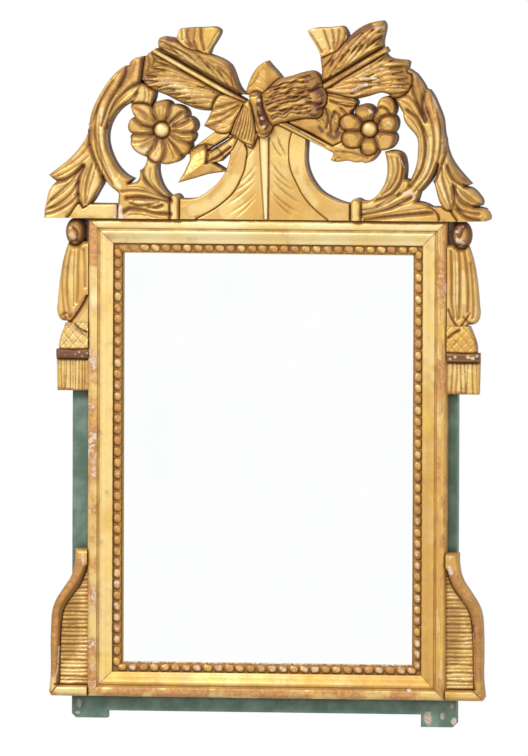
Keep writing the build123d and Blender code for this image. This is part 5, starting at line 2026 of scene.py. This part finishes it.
def along_side(side, t, u):
    """X and Z at a distance t in from the outer edge and a share u along a side, clockwise."""
    left, right = -half_width + t, half_width - t
    top, bottom = top_edge - t, top_edge - frame_height + t
    level = np.full_like(u, 1.0)
    if side == "top":
        return left + (right - left) * u, level * top
    if side == "right":
        return level * right, top + (bottom - top) * u
    if side == "bottom":
        return right + (left - right) * u, level * bottom
    return level * left, bottom + (top - bottom) * u


def moulding_dents(t, depth, where):
    """How far old knocks and rubbing change the height of the moulding's front, mostly downwards."""
    front = depth > 13
    edge = np.clip(1 - np.abs(t - 3.0) / 8.0, 0, 1) * (depth > 12)
    dent = edge * (0.55 * smooth_noise(where, 26, 3) - 0.55 + 0.25 * smooth_noise(where, 7, 4))
    dent += 0.16 * smooth_noise(where, 12, 5) * front * (t > 13)
    dent += 0.12 * smooth_noise(where, 4, 6) * front
    lip = (t > lip_start) & (depth > 7)
    dent += lip * (0.25 * smooth_noise(where, 9, 11) - 0.1)
    return np.minimum(dent, 0.05)


def worn_outer_wall(side, t, depth, x, z):
    """X and Z with the outer wall moved in a little, but not beside the drops and brackets."""
    wall = (t < 0.5) & (depth > 8)
    uneven = smooth_noise(np.column_stack([x + z, depth]), 14, 12)
    shift = np.where(wall, 0.25 * (1 + uneven), 0)
    beside_pieces = (z > height_of(392)) | (z < height_of(552))
    shift = np.where(beside_pieces & (side in ("left", "right")), 0, shift)
    inwards_x = {"left": 1, "right": -1}.get(side, 0)
    inwards_z = {"top": -1, "bottom": 1}.get(side, 0)
    return x + shift * inwards_x, z + shift * inwards_z


def section_face(section):
    """Triangles that close the end of the moulding."""
    count = len(section)
    edges = [(i, (i + 1) % count) for i in range(count)]
    made = delaunay_2d_cdt([Vector(point) for point in section], edges, [], 1, 1e-6)
    faces = np.array(made[2])
    return facing_up(faces[(faces < count).all(axis=1)], section)


def build_moulding(side):
    """A side of the gilt frame: its section repeated along its length, with dents and wear."""
    step_along = 2.2
    mitre_line = 0.8
    section = moulding_section()
    count = len(section)
    length = 2 * half_width if side in ("top", "bottom") else frame_height
    steps = int(length / step_along)
    u = np.linspace(0.0004, 0.9996, steps + 1)
    t = np.repeat(section[None, :, 0], steps + 1, axis=0)
    x, z = along_side(side, t, np.repeat(u[:, None], count, axis=1))
    t, x, z = t.ravel(), x.ravel(), z.ravel()
    depth = np.tile(section[:, 1], steps + 1)
    height = depth + moulding_dents(t, depth, np.column_stack([x, z]))
    moved_x, moved_z = worn_outer_wall(side, t, depth, x, z)
    verts = np.column_stack([moved_x, -(front_of_chassis + height), moved_z])
    rows = np.arange(steps)[:, None] * count
    a = rows + np.arange(count)[None, :]
    b = rows + (np.arange(count)[None, :] + 1) % count
    quads = np.stack([a, b, b + count, a + count], axis=-1).reshape(-1, 4)
    end = section_face(section)
    faces = np.vstack([quads[:, [0, 1, 2]], quads[:, [0, 2, 3]], end, end[:, ::-1] + steps * count])
    fields = moulding_wear_and_light(t, x, z, side)
    mitre = np.minimum(u, 1 - u) * length
    fields["dark"] = np.maximum(fields["dark"], np.repeat(np.clip(1 - mitre / mitre_line, 0, 1), count) * 0.5)
    node = "moulding_" + side
    piece = make_object(node + "_gilt", verts, faces, fields, gilt, replaces=(node,))
    face_outwards(piece)


def pearl_net(rings=9, around=18):
    """Directions of a ball's points and its triangles."""
    points = [(0, 0, 1.0)]
    for ring in range(1, rings):
        polar = math.pi * ring / rings
        for step in range(around):
            turn = 2 * math.pi * step / around
            wide = math.sin(polar)
            points.append((wide * math.cos(turn), wide * math.sin(turn), math.cos(polar)))
    points.append((0, 0, -1.0))
    faces = [(0, 1 + step, 1 + (step + 1) % around) for step in range(around)]
    for ring in range(rings - 2):
        low, high = 1 + ring * around, 1 + (ring + 1) * around
        for step in range(around):
            following = (step + 1) % around
            faces.append((low + step, high + step, high + following))
            faces.append((low + step, high + following, low + following))
    last = len(points) - 1
    low = 1 + (rings - 2) * around
    faces += [(low + (step + 1) % around, low + step, last) for step in range(around)]
    return np.array(points), np.array(faces)


pearl_pitch = 13
pearl_middle = 35.0
pearl_seat = 11.0
pearl_squareness = (0.72, 0.78, 0.95)
side_seeds = {"top": 1, "right": 2, "bottom": 3, "left": 4}


def cut_pearl(rng, side, index, x, z, net):
    """Points and fields of one worn, slightly square pearl, with painted shade and a painted highlight."""
    shape = np.sign(net) * np.abs(net) ** np.array(pearl_squareness)
    half_long = 6.0 * rng.uniform(0.94, 1.03)
    half_wide = 4.5 * rng.uniform(0.94, 1.03)
    tall = 4.2 * rng.uniform(0.90, 1.0)
    flat = rng.uniform(0.86, 1.0)
    worn, chip = 0.30 + 0.30 * rng.random(), 0.28 + 0.22 * rng.random()
    px, py = pixel_of(x, z)
    if side == "top" and 110 < px < 134:
        flat, worn, chip, tall = 0.4, 0.8, 0.45, 1.4
    if side == "bottom" and rng.random() < 0.45:
        worn, chip = 0.7, rng.uniform(0.25, 0.6)
    if side == "left" and py < 275:
        chip = 0.1
    turn = rng.normal(0, 0.10)
    shape[:, 2] = np.minimum(shape[:, 2], flat)
    rough = 1 + 0.045 * smooth_noise(net * 3 + index * 7.3 + side_seeds[side] * 50, 1.6, 21)
    run = shape[:, 0] * half_long * rough
    wide = shape[:, 1] * half_wide * rough
    run, wide = run * math.cos(turn) - wide * math.sin(turn), run * math.sin(turn) + wide * math.cos(turn)
    run = run + rng.normal(0, 0.25)
    if side in ("left", "right"):
        run, wide = wide, run
    verts = np.column_stack([x + run, -(front_of_chassis + pearl_seat + shape[:, 2] * tall), z + wide])
    # Painted shade on each pearl's lower half and in a crescent on one side, stronger further down the frame;
    # its crown is paler as a painted highlight.
    low = np.clip((0.45 - net[:, 2]) / 0.45, 0, 1)
    top = np.clip(net[:, 2], 0, 1)
    shaded_crescent = np.clip((x - verts[:, 0] + z - verts[:, 2]) / 7.0 - 0.25, 0, 1)
    age_and_shade = np.clip((py - 420) / 200, 0, 1)
    pale = 0.15 if py < 300 else 0
    fields = {
        "dark": 0.22 + (0.75 + 0.35 * age_and_shade) * low + (1.10 + 0.3 * age_and_shade) * shaded_crescent + 0.15 * rng.random(),
        "worn": worn * (0.35 + 0.65 * top),
        "chip": (chip + 0.10 * age_and_shade) * top * (1 - 0.5 * shaded_crescent),
        "tone": 0.20 * top - 0.30 + 0.15 * rng.normal() + pale,
    }
    return verts, fields


def build_pearls(side):
    """The slip and its pearls, each cut a little differently."""
    rng = np.random.default_rng(side_seeds[side] + 200)
    length = (2 * half_width if side in ("top", "bottom") else frame_height) - 2 * pearl_middle
    count = int(length // pearl_pitch)
    net, net_faces = pearl_net()
    verts, faces, fields = [], [], {"dark": [], "worn": [], "chip": [], "tone": []}
    for index in range(count):
        x, z = along_side(side, pearl_middle, np.array([(index + 0.5) / count]))
        pearl, pearl_fields = cut_pearl(rng, side, index, x[0], z[0], net)
        verts.append(pearl)
        faces.append(net_faces + index * len(net))
        for key, values in pearl_fields.items():
            fields[key].append(values)
    slip, slip_faces = slip_net(side)
    verts.append(slip)
    faces.append(slip_faces + count * len(net))
    for key, on_slip in (("dark", 0.55), ("worn", 0.3), ("chip", 0), ("tone", -0.3)):
        fields[key].append(np.full(len(slip), on_slip))
    fields = {key: np.concatenate(values) for key, values in fields.items()}
    node = "pearls_" + side
    piece = make_object(node + "_cut", np.vstack(verts), np.vstack(faces), fields, gilt, replaces=(node,))
    face_outwards(piece)


def slip_net(side):
    """The thin mitred strip that the pearls stand on."""
    back, front = 8.0, pearl_seat
    points = []
    for u in (0.0, 1.0):
        for t, depth in ((slip_start, back), (slip_start, front), (slip_end, front), (slip_end, back)):
            x, z = along_side(side, t, np.array([u]))
            points.append((x[0], -(front_of_chassis + depth), z[0]))
    faces = [(0, 1, 2), (0, 2, 3), (4, 6, 5), (4, 7, 6)]
    for i in range(4):
        j = (i + 1) % 4
        faces += [(i, j, j + 4), (i, j + 4, i + 4)]
    return np.array(points), np.array(faces)


# Parts kept from the CAD model


def dress(piece, material, bevel=0.0):
    """Gives a kept node its material and softens its edges."""
    piece.data.materials.clear()
    piece.data.materials.append(material)
    if bevel:
        weld = piece.modifiers.new("weld", "WELD")
        weld.merge_threshold = 0.00001
        soft = piece.modifiers.new("soft", "BEVEL")
        soft.width = bevel * MM
        soft.segments = 2
        soft.limit_method = "ANGLE"
        soft.angle_limit = bevelled_angle
        soft.harden_normals = True


# How the names of kept nodes start, with their material and bevel. The first that fits counts.
kept_looks = (
    ("chassis_pegs", green, 0.0),
    ("chassis_", green, 1.2),
    ("crest_board", crest_side, 0.0),
    ("crest_batten", crest_wood, 0.8),
    ("crest_screws", iron, 0.0),
    ("back_board", boards, 0.4),
    ("back_nails", iron, 0.0),
    ("glazing_blocks", boards, 0.5),
    ("hanger_screws", iron, 0.0),
    ("hanger_", iron, 0.15),
    ("mirror_glass", glass, 0.0),
    ("", gilt, 0.0),
)


def dress_kept_parts():
    """Materials and soft edges for the nodes that stay as they are."""
    for name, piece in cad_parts.items():
        _, material, bevel = next(look for look in kept_looks if name.startswith(look[0]))
        dress(piece, material, bevel)


# Stage


def sun_panel(name, place, aim, size, power):
    """A square light of a size in metres, turned towards a point."""
    lamp = bpy.data.lights.new(name, "AREA")
    lamp.shape = "SQUARE"
    lamp.size = size
    lamp.energy = power
    panel = bpy.data.objects.new(name, lamp)
    panel.location = place
    panel.rotation_euler = (Vector(aim) - Vector(place)).to_track_quat("-Z", "Y").to_euler()
    scene.collection.objects.link(panel)


def white_where_seen(tree, plain, white):
    """Mixes to the white shader for rays from the camera, mirrors and glass."""
    path = tree.nodes.new("ShaderNodeLightPath")
    seen = None
    for name in ("Is Camera Ray", "Is Glossy Ray", "Is Transmission Ray"):
        if seen is None:
            seen = path.outputs[name]
            continue
        either = tree.nodes.new("ShaderNodeMath")
        either.operation = "MAXIMUM"
        tree.links.new(seen, either.inputs[0])
        tree.links.new(path.outputs[name], either.inputs[1])
        seen = either.outputs[0]
    mix = tree.nodes.new("ShaderNodeMixShader")
    tree.links.new(seen, mix.inputs[0])
    tree.links.new(plain, mix.inputs[1])
    tree.links.new(white, mix.inputs[2])
    return mix.outputs[0]


def build_world():
    """White surroundings, half as bright for the light that they give."""
    world = bpy.data.worlds.new("studio")
    scene.world = world
    world.use_nodes = True
    tree = world.node_tree
    fill = tree.nodes["Background"]
    white = tree.nodes.new("ShaderNodeBackground")
    for background, strength in ((fill, 0.50), (white, 1.0)):
        background.inputs["Color"].default_value = (1, 1, 1, 1)
        background.inputs["Strength"].default_value = strength
    mixed = white_where_seen(tree, fill.outputs[0], white.outputs[0])
    tree.links.new(mixed, tree.nodes["World Output"].inputs["Surface"])


def build_camera():
    """A far camera, a little to the right of the mirror and above it, as the photograph shows."""
    azimuth, elevation, roll = math.radians(8.0), math.radians(3.0), math.radians(0.2)
    distance = 20.0
    centre = Vector((-0.0028, -0.042, -0.252))
    level = math.cos(elevation)
    away = Vector((math.sin(azimuth) * level, -math.cos(azimuth) * level, math.sin(elevation)))
    data = bpy.data.cameras.new("camera")
    data.sensor_width = 36
    data.lens = data.sensor_width * distance / (photo_height * pixel * MM)
    data.clip_end = 100
    camera = bpy.data.objects.new("camera", data)
    camera.location = centre + away * distance
    camera.rotation_mode = "QUATERNION"
    aim = (-away).to_track_quat("-Z", "Y")
    camera.rotation_quaternion = aim @ Quaternion((0, 0, 1), roll)
    scene.collection.objects.link(camera)
    scene.camera = camera


def build_stage():
    """World, camera and two lights: a bright one from the upper left, a weak one from the right."""
    build_world()
    build_camera()
    sun_panel("key", (-1.5, -2.6, 1.9), (0, 0, -0.2), 1.0, 85)
    sun_panel("side", (2.2, -2.4, 0.2), (0, 0, -0.3), 1.6, 22)
    scene.view_settings.view_transform = "Standard"


carve_left_side()
carve_right_side()
carve_base_blocks()
carve_rosette_left()
carve_rosette_right()
carve_sheaf()
carve_binding()
carve_tassel_end()
carve_cloth_fold()
carve_arrow_one()
carve_arrow_two()
carve_fletching_left()
carve_fletching_right()
carve_peak()
carve_ribbon_left()
carve_ribbon_right()
carve_bands()
carve_pedestal()
carve_leaf_sprig()
carve_drape_left()
carve_drape_right()
carve_caps()
carve_fringe("left", 106, 11)
carve_fringe("right", 107, 8)
carve_reeded_panel("left", -1)
carve_edge_left()
carve_reeded_panel("right", 1)
carve_edge_right()
for side in ("top", "right", "bottom", "left"):
    build_moulding(side)
    build_pearls(side)
dress_kept_parts()
build_stage()
